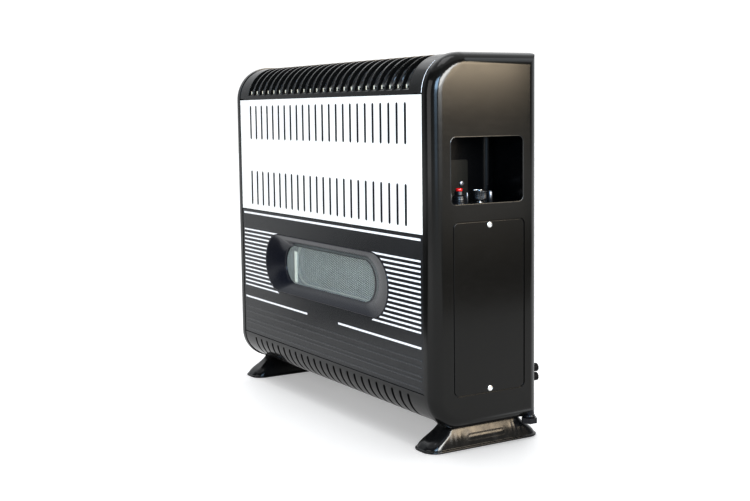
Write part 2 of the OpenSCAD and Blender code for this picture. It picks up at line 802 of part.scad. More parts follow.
// ---------- frame ----------
module side_plate_sheet() along_x(plate_x0, plate_x1) difference() {
    side_outline(y_frame, cheek_r_top - 2, cheek_r_low - 2, y_frame + 4,
        plate_z0 - y_frame, plate_z1 + y_frame, body_depth - cheek_t - seat + y_frame);
    for (p = post_at) translate(p) circle(screw_r + 0.2, $fn = 24);
}

module left_side_plate() color(zinc) body_frame() mirror([1, 0, 0]) side_plate_sheet();

module right_side_plate() color(zinc) body_frame() difference() {
    side_plate_sheet();
    along_x(plate_x0 - over, plate_x1 + over) round_rect([cut_y0, cut_z0], [cut_y1, cut_z1], 12);
}

module casing_screws() color(steel) body_frame() for (m = [0, 1]) mirror([m, 0, 0]) for (p = post_at) {
    rod_x(plate_x0 - 2.5, plate_x0, p[0], p[1], 4);
    rod_x(plate_x0 - eps, plate_x1 + 10, p[0], p[1], screw_r);
}

// angle behind the front panels: upright web and a flange at height z
module front_rail(z0, z_flange) {
    box([-plate_x0, y_frame, z0], [plate_x0, y_frame + rail_t, z0 + rail_h]);
    box([-plate_x0, y_frame, z_flange], [plate_x0, y_frame + rail_d, z_flange + rail_t]);
}

module top_rail() color(zinc) body_frame() front_rail(z_up - rail_h - 2, z_up - 2 - rail_t);

module middle_rail() color(zinc) body_frame() front_rail(z_split - rail_h / 2, z_split - rail_t / 2);

module lower_rail() color(zinc) body_frame() front_rail(z_low + 2, z_low + 2);

module base_rail(y) difference() {
    union() {
        box([-plate_x0, y, grille_low_z], [plate_x0, y + base_rail_w, grille_low_z + rail_t]);
        box([-plate_x0, y, grille_low_z], [plate_x0, y + rail_t, grille_low_z + 26]);
    }
    for (s = [-1, 1]) rod_z(0, z_low, s * foot_mid_x, y + base_rail_w / 2, foot_bolt_r + seat);
}

module front_base_rail() color(zinc) body_frame() base_rail(base_rail_y[0]);

module rear_base_rail() color(zinc) body_frame() base_rail(base_rail_y[1]);

// ---------- feet ----------
// flat stadium along y, between two end positions
module foot_slab(y0, y1, w, z0, z1) along_z(z0, z1) translate([foot_mid_x, (y0 + y1) / 2]) rotate(90)
    stadium((y1 - y0 - w) / 2, w / 2, $fn = 40);

module foot() difference() {
    union() {
        foot_slab(foot_mid_y - foot_len / 2, foot_mid_y + foot_len / 2, foot_w, 0, foot_rim_t);
        hull() {
            foot_slab(foot_mid_y - foot_len / 2 + foot_rim_w, foot_mid_y + foot_len / 2 - foot_rim_w,
                foot_w - 2 * foot_rim_w, foot_rim_t - eps, foot_rim_t + 2);
            foot_slab(foot_top_y0 - 2, foot_top_y1 + 2, foot_top_w + 3, foot_top_z - 4, foot_top_z - 4 + eps);
            foot_slab(foot_top_y0, foot_top_y1, foot_top_w, foot_top_z - eps, foot_top_z);
        }
        along_z(foot_top_z - 1, ground_gap) translate([foot_mid_x - foot_pad_w / 2, foot_bolt_y[0] - 25])
            square([foot_pad_w, foot_bolt_y[1] - foot_bolt_y[0] + 42]);
    }
    for (y = foot_bolt_y) {
        rod_z(-over, ground_gap + over, foot_mid_x, y, foot_bolt_r + seat);
        rod_z(-over, 20, foot_mid_x, y, foot_bolt_r + 5);
    }
}

module right_foot() color(black_gloss) body_frame() foot();

module left_foot() color(black_gloss) body_frame() mirror([1, 0, 0]) foot();

module foot_bolts() color(steel) body_frame() for (s = [-1, 1], y = foot_bolt_y) {
    rod_z(20 - eps, grille_low_z + rail_t + 8, s * foot_mid_x, y, foot_bolt_r);
    translate([s * foot_mid_x, y, 16]) hex(foot_nut_af, 4);
}

module foot_nuts() color(steel) body_frame() for (s = [-1, 1], y = foot_bolt_y) difference() {
    translate([s * foot_mid_x, y, grille_low_z + rail_t]) hex(foot_nut_af, 5);
    rod_z(0, z_low, s * foot_mid_x, y, foot_bolt_r + run_gap);
}

// ---------- firebox ----------
module fb_rect(grow, r) round_rect([-fb_x - grow, fb_z0 - grow], [fb_x + grow, fb_z1 + grow], r);

module firebox_front() color(enamel) body_frame() difference() {
    union() {
        along_y(firebox_y, join_y) fb_rect(0, fb_r);
        along_y(join_y - firebox_t, join_y) fb_rect(flange_w, fb_r + flange_w);
    }
    along_y(firebox_y + firebox_t, join_y + over) fb_rect(-firebox_t, fb_r - firebox_t);
    along_y(firebox_y - over, firebox_y + over) translate([0, win_z]) stadium(fire_win_half, fire_win_r);
    for (p = glass_screw_at) rod_y(firebox_y - over, firebox_y + over, p[0], p[1], screw_r + run_gap);
    box([fb_x - over, port_y[0], port_z[0]], [fb_x + over, port_y[1], port_z[1]]);
}

module firebox_rear() color(enamel) body_frame() difference() {
    union() {
        along_y(join_y, fb_y1) fb_rect(0, fb_r);
        along_y(join_y, join_y + firebox_t) fb_rect(flange_w, fb_r + flange_w);
    }
    along_y(join_y - over, fb_y1 - firebox_t) fb_rect(-firebox_t, fb_r - firebox_t);
    rod_y(fb_y1 - over, fb_y1 + over, 0, fl_z, exhaust_r - pipe_t);
    box([-60, fb_y1 - over, fb_z0 + 30], [60, fb_y1 + over, fb_z0 + 66]);
}

module firebox_brackets() color(zinc) body_frame() for (s = [-1, 1], z = [fb_z0 + 2, fb_z1 - 22])
    box([s > 0 ? fb_x + 4 : -plate_x0, join_y + firebox_t, z],
        [s > 0 ? plate_x0 : -fb_x - 4, join_y + firebox_t + 2, z + 20]);

glass_r = fire_win_r + glass_lap;
glass_screw_at = [for (x = [-1, 0, 1], s = [-1, 1]) [x * fire_win_half, win_z + s * (glass_r + 5)]];

module glass_frame() color(enamel) body_frame() difference() {
    along_y(frame_y0, glass_y0) translate([0, win_z]) window_ring(fire_win_half, glass_r + 10, fire_win_r);
    for (p = glass_screw_at) rod_y(0, firebox_y, p[0], p[1], screw_r + run_gap);
}

module window_glass() color([0.55, 0.55, 0.5, 0.4]) body_frame() along_y(glass_y0, glass_y1)
    translate([0, win_z]) stadium(fire_win_half, glass_r);

module glass_gasket() color(fibre) body_frame() along_y(glass_y1, firebox_y) translate([0, win_z])
    window_ring(fire_win_half, glass_r + 1, fire_win_r);

module glass_screws() color(steel) body_frame() for (p = glass_screw_at) {
    rod_y(frame_y0 - 2, frame_y0, p[0], p[1], 4);
    rod_y(frame_y0 - eps, firebox_y + 4, p[0], p[1], screw_r);
}

board_t = 12;
board_z = [fb_z0 + 75, fl_z - exhaust_r - 40];

module refractory_board() color(ceramic) body_frame()
    box([-fb_x + 15, fb_y1 - firebox_t - board_t, board_z[0]], [fb_x - 15, fb_y1 - firebox_t, board_z[1]]);

module exhaust_baffle() color(enamel) body_frame() {
    box([-fb_x + 40, fb_y1 - 2 * firebox_t, board_z[1] + 8], [fb_x - 40, fb_y1 - firebox_t, board_z[1] + 34]);
    box([-fb_x + 40, firebox_y + 25, board_z[1] + 34 - firebox_t], [fb_x - 40, fb_y1 - firebox_t, board_z[1] + 34]);
}

// ---------- burner group ----------
module burner_tube() color(steel) body_frame() difference() {
    union() {
        rod_x(-fb_x + 30, pilot_x - 8, burner_y, burner_z, burner_r);
        rod_x(pilot_x - 10, fb_x + 22, burner_y, burner_z, neck_r);
    }
    rod_x(-fb_x + 30 + firebox_t, pilot_x - 8 - firebox_t, burner_y, burner_z, burner_r - firebox_t);
    rod_x(pilot_x - 12, fb_x + 30, burner_y, burner_z, neck_r - firebox_t);
    for (x = [-fb_x + 42 : 11.8 : pilot_x - 20]) box([x, burner_y - 6, burner_z + burner_r - 4],
        [x + 3, burner_y + 6, burner_z + burner_r + over]);
}

module burner_support() color(zinc) body_frame() difference() {
    union() {
        box([-fb_x + 44, burner_y - 16, fb_z0 + firebox_t], [-fb_x + 46, burner_y + 16, burner_z - 4]);
        box([-fb_x + 44, burner_y - 16, fb_z0 + firebox_t], [-fb_x + 60, burner_y + 16, fb_z0 + firebox_t + 2]);
    }
    rod_x(-fb_x + 30, -fb_x + 70, burner_y, burner_z, burner_r + seat);
}

module burner_flange() color(zinc) body_frame() difference() {
    union() {
        box([fb_x, port_y[0] - 5, port_z[0] - 5], [bflange_x, port_y[1] + 3, port_z[1] + 5]);
        box([bflange_x - eps, burner_y - 12, burner_z - neck_r - 5], [injector_x[0] + 12, burner_y + 12, burner_z - neck_r - 3]);
        box([injector_x[0] + 10, burner_y - 12, burner_z - neck_r - 5], [injector_x[0] + 12, burner_y + 12, burner_z + 8]);
    }
    rod_x(fb_x - over, bflange_x + over, burner_y, burner_z, neck_r + seat);
    rod_x(fb_x, injector_x[1], burner_y, burner_z, 5.2);
    rod_x(fb_x - over, bflange_x + over, pilot_in_y, pilot_in_z, pilot_pipe_r + seat);
    rod_x(fb_x - over, bflange_x + over, capillary_y, capillary_z, capillary_r + seat);
    rod_x(fb_x - over, bflange_x + over, burner_y - 8, fb_z0 + 12, lead_r + seat);
}

module injector() color(brass) body_frame() difference() {
    union() {
        rod_x(injector_x[0], injector_x[1], burner_y, burner_z, 5);
        translate([injector_x[0] + 12, burner_y, burner_z]) rotate([0, 90, 0]) hex(13, 3);
    }
    rod_x(injector_x[0] - over, injector_x[1] + over, burner_y, burner_z, 0.8);
}

module pilot_burner() color(steel) body_frame() {
    difference() {
        rod_z(burner_z, burner_z + 30, pilot_x, pilot_y, 5);
        rod_z(burner_z + 3, burner_z + 40, pilot_x, pilot_y, 3.5);
    }
    box([pilot_x - 6, pilot_y - 6.5, burner_z - 3], [fb_x - firebox_t, pilot_y - 5 + eps, burner_z + 20]);
    for (x = [thermo_x, spark_x]) difference() {
        box([x - 6, pilot_y - 6.5, burner_z + 2], [x + 6, probe_y + 6, burner_z + 5]);
        rod_z(burner_z - over, burner_z + 20, x, probe_y, x == thermo_x ? 2.55 : 3.55);
    }
    box([pilot_x - 6, pilot_y - 6.5, burner_z], [pilot_x + 6, pilot_y, burner_z + 3]);
}

module thermocouple() color(copper) body_frame() {
    rod_z(burner_z - 5, burner_z + 40, thermo_x, probe_y, 2.5);
    run([[thermo_x, probe_y, burner_z - 4], [thermo_x, probe_y, capillary_z], [thermo_x, capillary_y, capillary_z],
        [capillary_x, capillary_y, capillary_z], [capillary_x, valve_y0 + 10, valve_z0 - 60],
        [capillary_x, valve_y0 + 10, valve_z0 - seat]], capillary_r);
}

module ignition_electrode() color(ceramic) body_frame() {
    rod_z(burner_z - 7, burner_z + 27, spark_x, probe_y, 3.5);
    rod_z(burner_z + 27 - eps, burner_z + 38, spark_x, probe_y, 1);
}

module ignition_lead() color(red) body_frame()
    run([[spark_x, probe_y, burner_z - 7 - seat], [spark_x, probe_y, fb_z0 + 12], [spark_x, burner_y - 8, fb_z0 + 12],
        [fb_x + 40, burner_y - 8, fb_z0 + 12], [ctl_x - 6, button_pos_y - 10, valve_z0 - 50],
        [ctl_x, button_pos_y, igniter_low - 12], [ctl_x, button_pos_y, igniter_low - 6 - seat]], lead_r);

// ---------- flue and shields ----------
module air_duct() color(zinc) body_frame() difference() {
    box([-duct_w / 2, fb_y1, duct_z[0]], [duct_w / 2, duct_y1, duct_z[1]]);
    box([-duct_w / 2 + rail_t, fb_y1 - over, duct_z[0] + rail_t], [duct_w / 2 - rail_t, duct_y1 - rail_t, duct_z[1] - rail_t]);
    rod_y(fb_y1, duct_y1 + over, 0, fl_z, intake_r - pipe_t);
}

module flue_inner_pipe() color(steel) body_frame() tube_y(fb_y1, total_depth, 0, fl_z, exhaust_r, pipe_t);

module flue_outer_pipe() color(steel) body_frame() tube_y(duct_y1, body_depth + intake_out, 0, fl_z, intake_r, pipe_t);

module flue_seal() color(fibre) body_frame() tube_y(body_depth, body_depth + seal_t, 0, fl_z, intake_r + seal_w, seal_w - seat);

module heat_shield() color(zinc) body_frame() difference() {
    box([-plate_x0, shield_y, shield_z[0]], [plate_x0, shield_y + shield_t, shield_z[1]]);
    rod_y(shield_y - over, shield_y + over, 0, fl_z, intake_r + 2);
}

module top_deflector() color(zinc) body_frame() along_x(-plate_x0, plate_x0)
    polygon([[firebox_y + 10, deflector_z], [firebox_y + 11, deflector_z - 1], [fb_y1, deflector_z + 25],
        [shield_y + 20, deflector_z + 40], [shield_y + 20, deflector_z + 41.5], [fb_y1, deflector_z + 26.5]]);

// ---------- gas valve and pipes ----------
module gas_valve() color(zinc) body_frame() difference() {
    union() {
        along_z(valve_z0, valve_z1) round_rect([valve_x0, valve_y0], [valve_x1, valve_y0 + valve_d], 6);
        rod_z(valve_z1 - eps, neck_top, ctl_x, knob_pos_y, neck_valve_r);
        rod_z(valve_z0 - 6, valve_z0 + eps, valve_x0 + 30, knob_pos_y + 14, 8);
    }
    rod_z(valve_z1 - 34, neck_top + over, ctl_x, knob_pos_y, spindle_r + run_gap);
}

module control_nuts() color(steel) body_frame() {
    difference() {
        translate([ctl_x, knob_pos_y, floor_z]) hex(2 * neck_valve_r + 5, nut_t - 0.5);
        rod_z(0, z_top, ctl_x, knob_pos_y, neck_valve_r + run_gap);
    }
    difference() {
        translate([ctl_x, button_pos_y, under_z - nut_t]) hex(2 * igniter_r - 3, nut_t);
        rod_z(0, z_top, ctl_x, button_pos_y, igniter_r - 4 + run_gap);
    }
}

// bar with one flat side, which turns the knob
module flat_bar(r, z0, z1) intersection() {
    rod_z(z0, z1, ctl_x, knob_pos_y, r);
    box([ctl_x - r, knob_pos_y - r, z0], [ctl_x + r, knob_pos_y + r * 0.6, z1]);
}

module valve_spindle() color(steel) body_frame() {
    rod_z(valve_z1 - 33, neck_top + 0.5, ctl_x, knob_pos_y, spindle_r);
    flat_bar(spindle_r, neck_top + 0.5 - eps, spindle_top);
}

module gas_knob() color(black_gloss) body_frame() difference() {
    union() {
        rod_z(knob_z0, knob_z1 - 2, ctl_x, knob_pos_y, knob_r);
        translate([ctl_x, knob_pos_y, knob_z1 - 2 - eps]) cylinder(h = 2, r1 = knob_r, r2 = knob_r - 2);
    }
    rod_z(knob_z0 - over, knob_z0 + 7, ctl_x, knob_pos_y, neck_valve_r + 4.5);
    flat_bar(spindle_r + run_gap, knob_z0, knob_z1 - 2.5);
    for (a = [0 : 20 : 340]) translate([ctl_x, knob_pos_y, 0]) rotate(a)
        translate([knob_r + 0.7, 0, knob_z0 + 3]) cylinder(h = knob_h, r = 1.5, $fn = 24);
    box([ctl_x - 0.8, knob_pos_y - knob_r, knob_z1 - 0.8], [ctl_x + 0.8, knob_pos_y - 4, knob_z1 + 1]);
}

module burner_pipe() color(copper) body_frame()
    run([[valve_x0 - seat, outlet_y, outlet_z], [outlet_run_x, outlet_y, outlet_z],
        [outlet_run_x, outlet_y, burner_z], [outlet_run_x, burner_y, burner_z],
        [injector_x[1] + seat, burner_y, burner_z]], burner_pipe_r);

module pilot_pipe() color(copper) body_frame()
    run([[valve_x0 - seat, pilot_out_y, pilot_out_z], [pilot_run_x, pilot_out_y, pilot_out_z],
        [pilot_run_x, pilot_in_y, pilot_drop_z], [pilot_run_x, pilot_in_y, pilot_in_z],
        [pilot_x + 4.3, pilot_in_y, pilot_in_z]], pilot_pipe_r);

module thermostat_sensor() color(copper) body_frame() {
    run([[capillary_x, knob_pos_y + 20, valve_z0 - seat], [capillary_x, knob_pos_y + 20, sensor_z],
        [capillary_x, sensor_y, sensor_z], [sensor_x1 - 1, sensor_y, sensor_z]], capillary_r);
    rod_x(sensor_x1 - sensor_len, sensor_x1, sensor_y, sensor_z, sensor_r);
}

module inlet_pipe() color(brass) body_frame() {
    run([[in_x, in_y, nut_z1 + seat], [in_x, in_y, in_jog_z], [in_run_x, in_y, in_jog_z], [in_run_x, in_y, in_turn_z],
        [in_run_x, knob_pos_y + 6, in_turn_z], [valve_x1 + seat, knob_pos_y + 6, in_turn_z]], inlet_r);
    rod_z(nut_z1 + seat, nut_z1 + seat + collar_t, in_x, in_y, collar_r);
}

module union_nut() color(black_gloss) body_frame() difference() {
    translate([in_x, in_y, nut_z0]) rotate(30) hex(nut_af, nut_h);
    rod_z(nut_z0 - over, nut_z0 + supply_len, in_x, in_y, supply_r);
    rod_z(nut_z0, nut_z1 + over, in_x, in_y, supply_r - 1);
}

// ---------- igniter ----------
module igniter_body() color(black_gloss) body_frame() difference() {
    union() {
        rod_z(igniter_low, floor_z + eps, ctl_x, button_pos_y, igniter_r - 4);
        rod_z(floor_z, floor_z + 8, ctl_x, button_pos_y, igniter_r + 1.5);
        rod_z(floor_z + 8 - eps, igniter_top - collar_h, ctl_x, button_pos_y, igniter_r);
        rod_z(igniter_top - collar_h - eps, igniter_top, ctl_x, button_pos_y, button_r + 2);
        rod_z(igniter_low - 6, igniter_low + eps, ctl_x, button_pos_y, 3);
    }
    rod_z(igniter_top - 10.5, igniter_top + over, ctl_x, button_pos_y, button_r + 0.08);
}

module igniter_button() color(red) body_frame() {
    rod_z(igniter_top - 10.5 + button_travel + 0.5, button_top - 1, ctl_x, button_pos_y, button_r);
    translate([ctl_x, button_pos_y, button_top - 1 - eps]) cylinder(h = 1 + eps, r1 = button_r, r2 = button_r - 1);
}

// ---------- wall spacers ----------
module spacer_pad(z) intersection() {
    rod_y(body_depth, body_depth + spacer_out, x_panel + 2, z, spacer_r);
    translate([x_panel + 2, body_depth + spacer_out - 12, z]) sphere(12);
    rod_y(body_depth, body_depth + spacer_out, x_panel + 2, z, spacer_r);
}

module wall_spacers() color(black_gloss) body_frame() for (m = [0, 1]) mirror([m, 0, 0])
    for (k = [0, 1]) {
        z = z_low + spacer_z + k * (2 * spacer_r + 1.4);
        rod_y(body_depth, body_depth + spacer_out - 8, x_panel + 2, z, spacer_r);
        spacer_pad(z);
    }

left_cheek();
right_cheek();
access_cover();
dome_screws();
control_pocket();
pocket_plate();
upper_front_panel();
lower_front_panel();
window_bezel();
window_guard();
top_grille();
bottom_grille();
rear_panel();
left_side_plate();
right_side_plate();
top_rail();
middle_rail();
lower_rail();
front_base_rail();
rear_base_rail();
casing_screws();
left_foot();
right_foot();
foot_bolts();
foot_nuts();
firebox_front();
firebox_rear();
firebox_brackets();
glass_frame();
window_glass();
glass_gasket();
glass_screws();
refractory_board();
exhaust_baffle();
burner_tube();
burner_support();
burner_flange();
injector();
pilot_burner();
thermocouple();
ignition_electrode();
ignition_lead();
air_duct();
flue_inner_pipe();
flue_outer_pipe();
flue_seal();
heat_shield();
top_deflector();
gas_valve();
control_nuts();
valve_spindle();
gas_knob();
burner_pipe();
pilot_pipe();
thermostat_sensor();
inlet_pipe();
union_nut();
igniter_body();
igniter_button();
wall_spacers();
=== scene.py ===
"""Flued gas convector heater: the CAD frame with its finishes, and detailed pieces that stand for nodes."""
import json
import math

import bmesh
import bpy
from mathutils import Matrix, Vector


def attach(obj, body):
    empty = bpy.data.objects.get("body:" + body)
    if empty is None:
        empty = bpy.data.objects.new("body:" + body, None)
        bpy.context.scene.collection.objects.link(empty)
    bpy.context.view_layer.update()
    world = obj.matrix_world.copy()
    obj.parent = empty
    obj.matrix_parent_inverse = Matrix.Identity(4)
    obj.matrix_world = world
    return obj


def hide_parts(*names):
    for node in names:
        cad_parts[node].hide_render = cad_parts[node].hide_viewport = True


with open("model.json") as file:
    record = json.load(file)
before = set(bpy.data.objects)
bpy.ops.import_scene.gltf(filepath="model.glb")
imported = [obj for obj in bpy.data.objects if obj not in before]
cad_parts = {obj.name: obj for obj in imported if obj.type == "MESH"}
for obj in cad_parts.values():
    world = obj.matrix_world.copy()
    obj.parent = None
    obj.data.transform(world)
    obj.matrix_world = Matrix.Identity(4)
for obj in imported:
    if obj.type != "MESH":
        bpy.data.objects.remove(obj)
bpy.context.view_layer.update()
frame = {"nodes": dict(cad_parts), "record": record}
NODES = frame["nodes"]
MID_Y = 131.0          # from the front plane, where the sizes below start, to the middle of the depth
WIN_Z = 277.0          # height of the window's middle
WIN_HALF, WIN_R = 142, 40       # window opening: half its straight length, and its end radius
LIP_HALF, LIP_R = 193, 60       # the same for the surround's outer lip
SLOTS, PITCH = 24, 27.46        # slots in each grille and in each row of the panel
X_FIT = 369.7          # half the length of the grilles and panels
TOP_Z, TOP_R = 624, 70          # top curve of the front: height of its middle, and its radius
LOW_Z, LOW_R = 104, 60          # bottom curve of the front
CONTROL_X, KNOB_Y, IGNITER_Y = 350.0, 134.6, 90.0   # axes of the knob and of the igniter
NICHE_BOX = (39, 193, 435.5, 550.5)     # edges of the niche in the right cheek: front, rear, bottom, top
COVER_BOX = (43.6, 196, 100.5, 405)     # the same for the access cover
INLET_X, INLET_Y = 391.5, 214           # axis of the gas inlet
FOOT_X, FOOT_Y, SOLE_Y = 353.5, 126.0, 123.5    # middle of a foot, and of its sole
# corners of a box's faces, for its lower four corners and then its upper four, each round from the first
BOX_FACES = ((3, 2, 1, 0), (4, 5, 6, 7), (0, 1, 5, 4), (1, 2, 6, 5), (2, 3, 7, 6), (3, 0, 4, 7))


def at(x, y, z):
    """Millimetres from the front plane to metres in the row frame."""
    return Vector((x / 1000, (y - MID_Y) / 1000, z / 1000))


# ---------------------------------------------------------------- camera
def make_camera():
    """The photograph's camera, from a perspective fit."""
    yaw, pitch, roll = math.radians(59.134), math.radians(5.84), math.radians(-0.745)
    ahead = Vector((-math.sin(yaw) * math.cos(pitch), math.cos(yaw) * math.cos(pitch), -math.sin(pitch)))
    right = Vector((math.cos(yaw), math.sin(yaw), 0))
    up = right.cross(ahead)
    right, up = math.cos(roll) * right + math.sin(roll) * up, math.cos(roll) * up - math.sin(roll) * right
    cam = bpy.data.objects.new("camera", bpy.data.cameras.new("camera"))
    turn = Matrix((right, up, -ahead)).transposed().to_4x4()
    cam.matrix_world = Matrix.Translation((2.03268, -1.2196, 0.59746)) @ turn
    cam.data.sensor_width = 36
    cam.data.lens = 56.03
    cam.data.shift_y = -0.0273
    bpy.context.scene.collection.objects.link(cam)
    bpy.context.scene.camera = cam


# ---------------------------------------------------------------- materials
class Graph:
    """A material's node tree, with short calls for the nodes used here."""

    def __init__(self, name):
        self.mat = bpy.data.materials.new(name)
        self.mat.use_nodes = True
        self.tree = self.mat.node_tree
        self.bsdf = self.tree.nodes["Principled BSDF"]
        self.coord = self.tree.nodes.new("ShaderNodeTexCoord").outputs["Object"]

    def link(self, a, b):
        self.tree.links.new(a, b)

    def node(self, kind, **values):
        n = self.tree.nodes.new(kind)
        for k, v in values.items():
            setattr(n, k, v)
        return n

    def noise(self, scale, detail=4.0, rough=0.55, stretch=(1, 1, 1)):
        m = self.node("ShaderNodeMapping")
        m.inputs["Scale"].default_value = stretch
        self.link(self.coord, m.inputs["Vector"])
        n = self.node("ShaderNodeTexNoise")
        n.inputs["Scale"].default_value = scale
        n.inputs["Detail"].default_value = detail
        n.inputs["Roughness"].default_value = rough
        self.link(m.outputs["Vector"], n.inputs["Vector"])
        return n.outputs["Fac"]

    def ramp(self, fac, lo, hi, a=0.0, b=1.0):
        n = self.node("ShaderNodeMapRange")
        n.inputs["From Min"].default_value = lo
        n.inputs["From Max"].default_value = hi
        n.inputs["To Min"].default_value = a
        n.inputs["To Max"].default_value = b
        self.link(fac, n.inputs["Value"])
        return n.outputs["Result"]

    def mix(self, fac, a, b):
        n = self.node("ShaderNodeMix", data_type="RGBA")
        for sock, v in ((n.inputs["Factor"], fac), (n.inputs["A"], a), (n.inputs["B"], b)):
            if isinstance(v, bpy.types.NodeSocket):
                self.link(v, sock)
            elif isinstance(v, (int, float)):
                sock.default_value = v
            else:
                sock.default_value = (*v, 1)
        return n.outputs["Result"]

    def math(self, op, a, b=0.0):
        n = self.node("ShaderNodeMath", operation=op)
        for sock, v in zip(n.inputs, (a, b)):
            if isinstance(v, bpy.types.NodeSocket):
                self.link(v, sock)
            else:
                sock.default_value = v
        return n.outputs[0]

    def bump(self, height, strength, distance):
        n = self.node("ShaderNodeBump")
        n.inputs["Strength"].default_value = strength
        n.inputs["Distance"].default_value = distance
        self.link(height, n.inputs["Height"])
        self.link(n.outputs["Normal"], self.bsdf.inputs["Normal"])

    def edges(self, lo=0.52, hi=0.62):
        """1 along worn edges, from the mesh's own curvature."""
        g = self.node("ShaderNodeNewGeometry")
        return self.ramp(g.outputs["Pointiness"], lo, hi)

    def upward(self, lo=0.5, hi=1.0):
        """1 on faces that look up, where dust settles."""
        g = self.node("ShaderNodeNewGeometry")
        s = self.node("ShaderNodeSeparateXYZ")
        self.link(g.outputs["Normal"], s.inputs["Vector"])
        return self.ramp(s.outputs["Z"], lo, hi)

    def set(self, **values):
        for k, v in values.items():
            self.bsdf.inputs[k.replace("_", " ")].default_value = v


def shade(colour, factor, add=0.0):
    """A colour made lighter or darker."""
    return tuple(min(1, factor * c + add) for c in colour)


def enamel(name, colour, rough, tint=0.1, dust=0.03, edge=0.2, ior=1.42, peel=260, depth=0.000006, cut=None):
    """Stoved paint: faint orange peel, uneven gloss, dust on top, rubbed edges, and a near-black cut colour
    painted on faces turned away from the front, such as slot walls, as painted shade.
    """
    g = Graph(name)
    cloud = g.noise(5, 3)
    col = g.mix(g.ramp(cloud, 0.35, 0.65), shade(colour, 1 - tint), shade(colour, 1 + tint))
    if dust:
        settled = g.math("MULTIPLY", g.math("MULTIPLY", g.upward(), dust), g.noise(60, 5))
        col = g.mix(settled, col, (0.5, 0.48, 0.45))
    if edge:
        col = g.mix(g.math("MULTIPLY", g.edges(), edge), col, shade(colour, 0.7, 0.1))
    # painted shade: faces turned away from the front, such as slot walls and folds, take the near-black cut
    # colour, darker than bare steel
    if cut:
        side = g.node("ShaderNodeNewGeometry")
        split = g.node("ShaderNodeSeparateXYZ")
        g.link(side.outputs["True Normal"], split.inputs["Vector"])
        facing = g.math("ABSOLUTE", split.outputs["Y"])
        col = g.mix(g.ramp(facing, 0.35, 0.5, 1, 0), col, cut)
    g.link(col, g.bsdf.inputs["Base Color"])
    scuff = g.noise(38, 6, 0.7, (1, 1, 3))
    g.link(g.ramp(scuff, 0.45, 0.75, rough - 0.01, rough + 0.03), g.bsdf.inputs["Roughness"])
    g.bump(g.noise(peel, 2), 0.5, depth)
    g.set(IOR=ior)
    return g.mat


def sheet_metal(name, colour, rough, spangle=60, stretch=(1, 1, 1), metallic=1.0, tint=0.12):
    """Bare or zinc-coated metal: spangle or brushing, with duller patches."""
    g = Graph(name)
    v = g.node("ShaderNodeTexVoronoi")
    m = g.node("ShaderNodeMapping")
    m.inputs["Scale"].default_value = stretch
    g.link(g.coord, m.inputs["Vector"])
    g.link(m.outputs["Vector"], v.inputs["Vector"])
    v.inputs["Scale"].default_value = spangle
    s = g.node("ShaderNodeSeparateXYZ")
    g.link(v.outputs["Color"], s.inputs["Vector"])
    patch = g.noise(14, 4)
    col = g.mix(s.outputs["X"], shade(colour, 1 - tint), shade(colour, 1 + tint))
    col = g.mix(g.ramp(patch, 0.45, 0.75, 0, 0.35), col, shade(colour, 0.55))
    g.link(col, g.bsdf.inputs["Base Color"])
    grain = g.ramp(s.outputs["Y"], 0, 1, rough - 0.06, rough + 0.06)
    r = g.math("ADD", grain, g.ramp(patch, 0.4, 0.8, 0, 0.12))
    g.link(r, g.bsdf.inputs["Roughness"])
    g.bump(g.noise(420, 2, 0.5, stretch), 0.12, 0.00005)
    g.set(Metallic=metallic)
    return g.mat


def moulded(name, colour, rough, grain=900, depth=0.00002, tint=0.1, edge=0.2, ior=1.5):
    """Moulded plastic, rubber or ceramic: fine texture and small marks."""
    g = Graph(name)
    cloud = g.noise(30, 4)
    col = g.mix(cloud, shade(colour, 1 - tint), shade(colour, 1 + tint))
    col = g.mix(g.math("MULTIPLY", g.edges(), edge), col, shade(colour, 0.6, 0.2))
    g.link(col, g.bsdf.inputs["Base Color"])
    g.link(g.ramp(g.noise(55, 5, 0.6), 0.35, 0.7, rough - 0.05, rough + 0.08), g.bsdf.inputs["Roughness"])
    g.bump(g.noise(grain, 2), 0.2, depth * 4)
    g.set(IOR=ior)
    return g.mat


def ceramic_glass():
    """Heat-resistant glass: a thin haze of smears over what is behind it."""
    g = Graph("ceramic_glass")
    smear = g.noise(35, 4, 0.6, (1, 1, 2))
    g.link(g.mix(smear, (0.50, 0.56, 0.54), (0.62, 0.66, 0.63)), g.bsdf.inputs["Base Color"])
    g.link(g.ramp(smear, 0.3, 0.7, 0.02, 0.12), g.bsdf.inputs["Roughness"])
    g.link(g.ramp(smear, 0.3, 0.7, 0.06, 0.11), g.bsdf.inputs["Alpha"])
    g.set(IOR=1.52)
    g.bump(g.noise(12, 1), 0.03, 0.0003)
    return g.mat


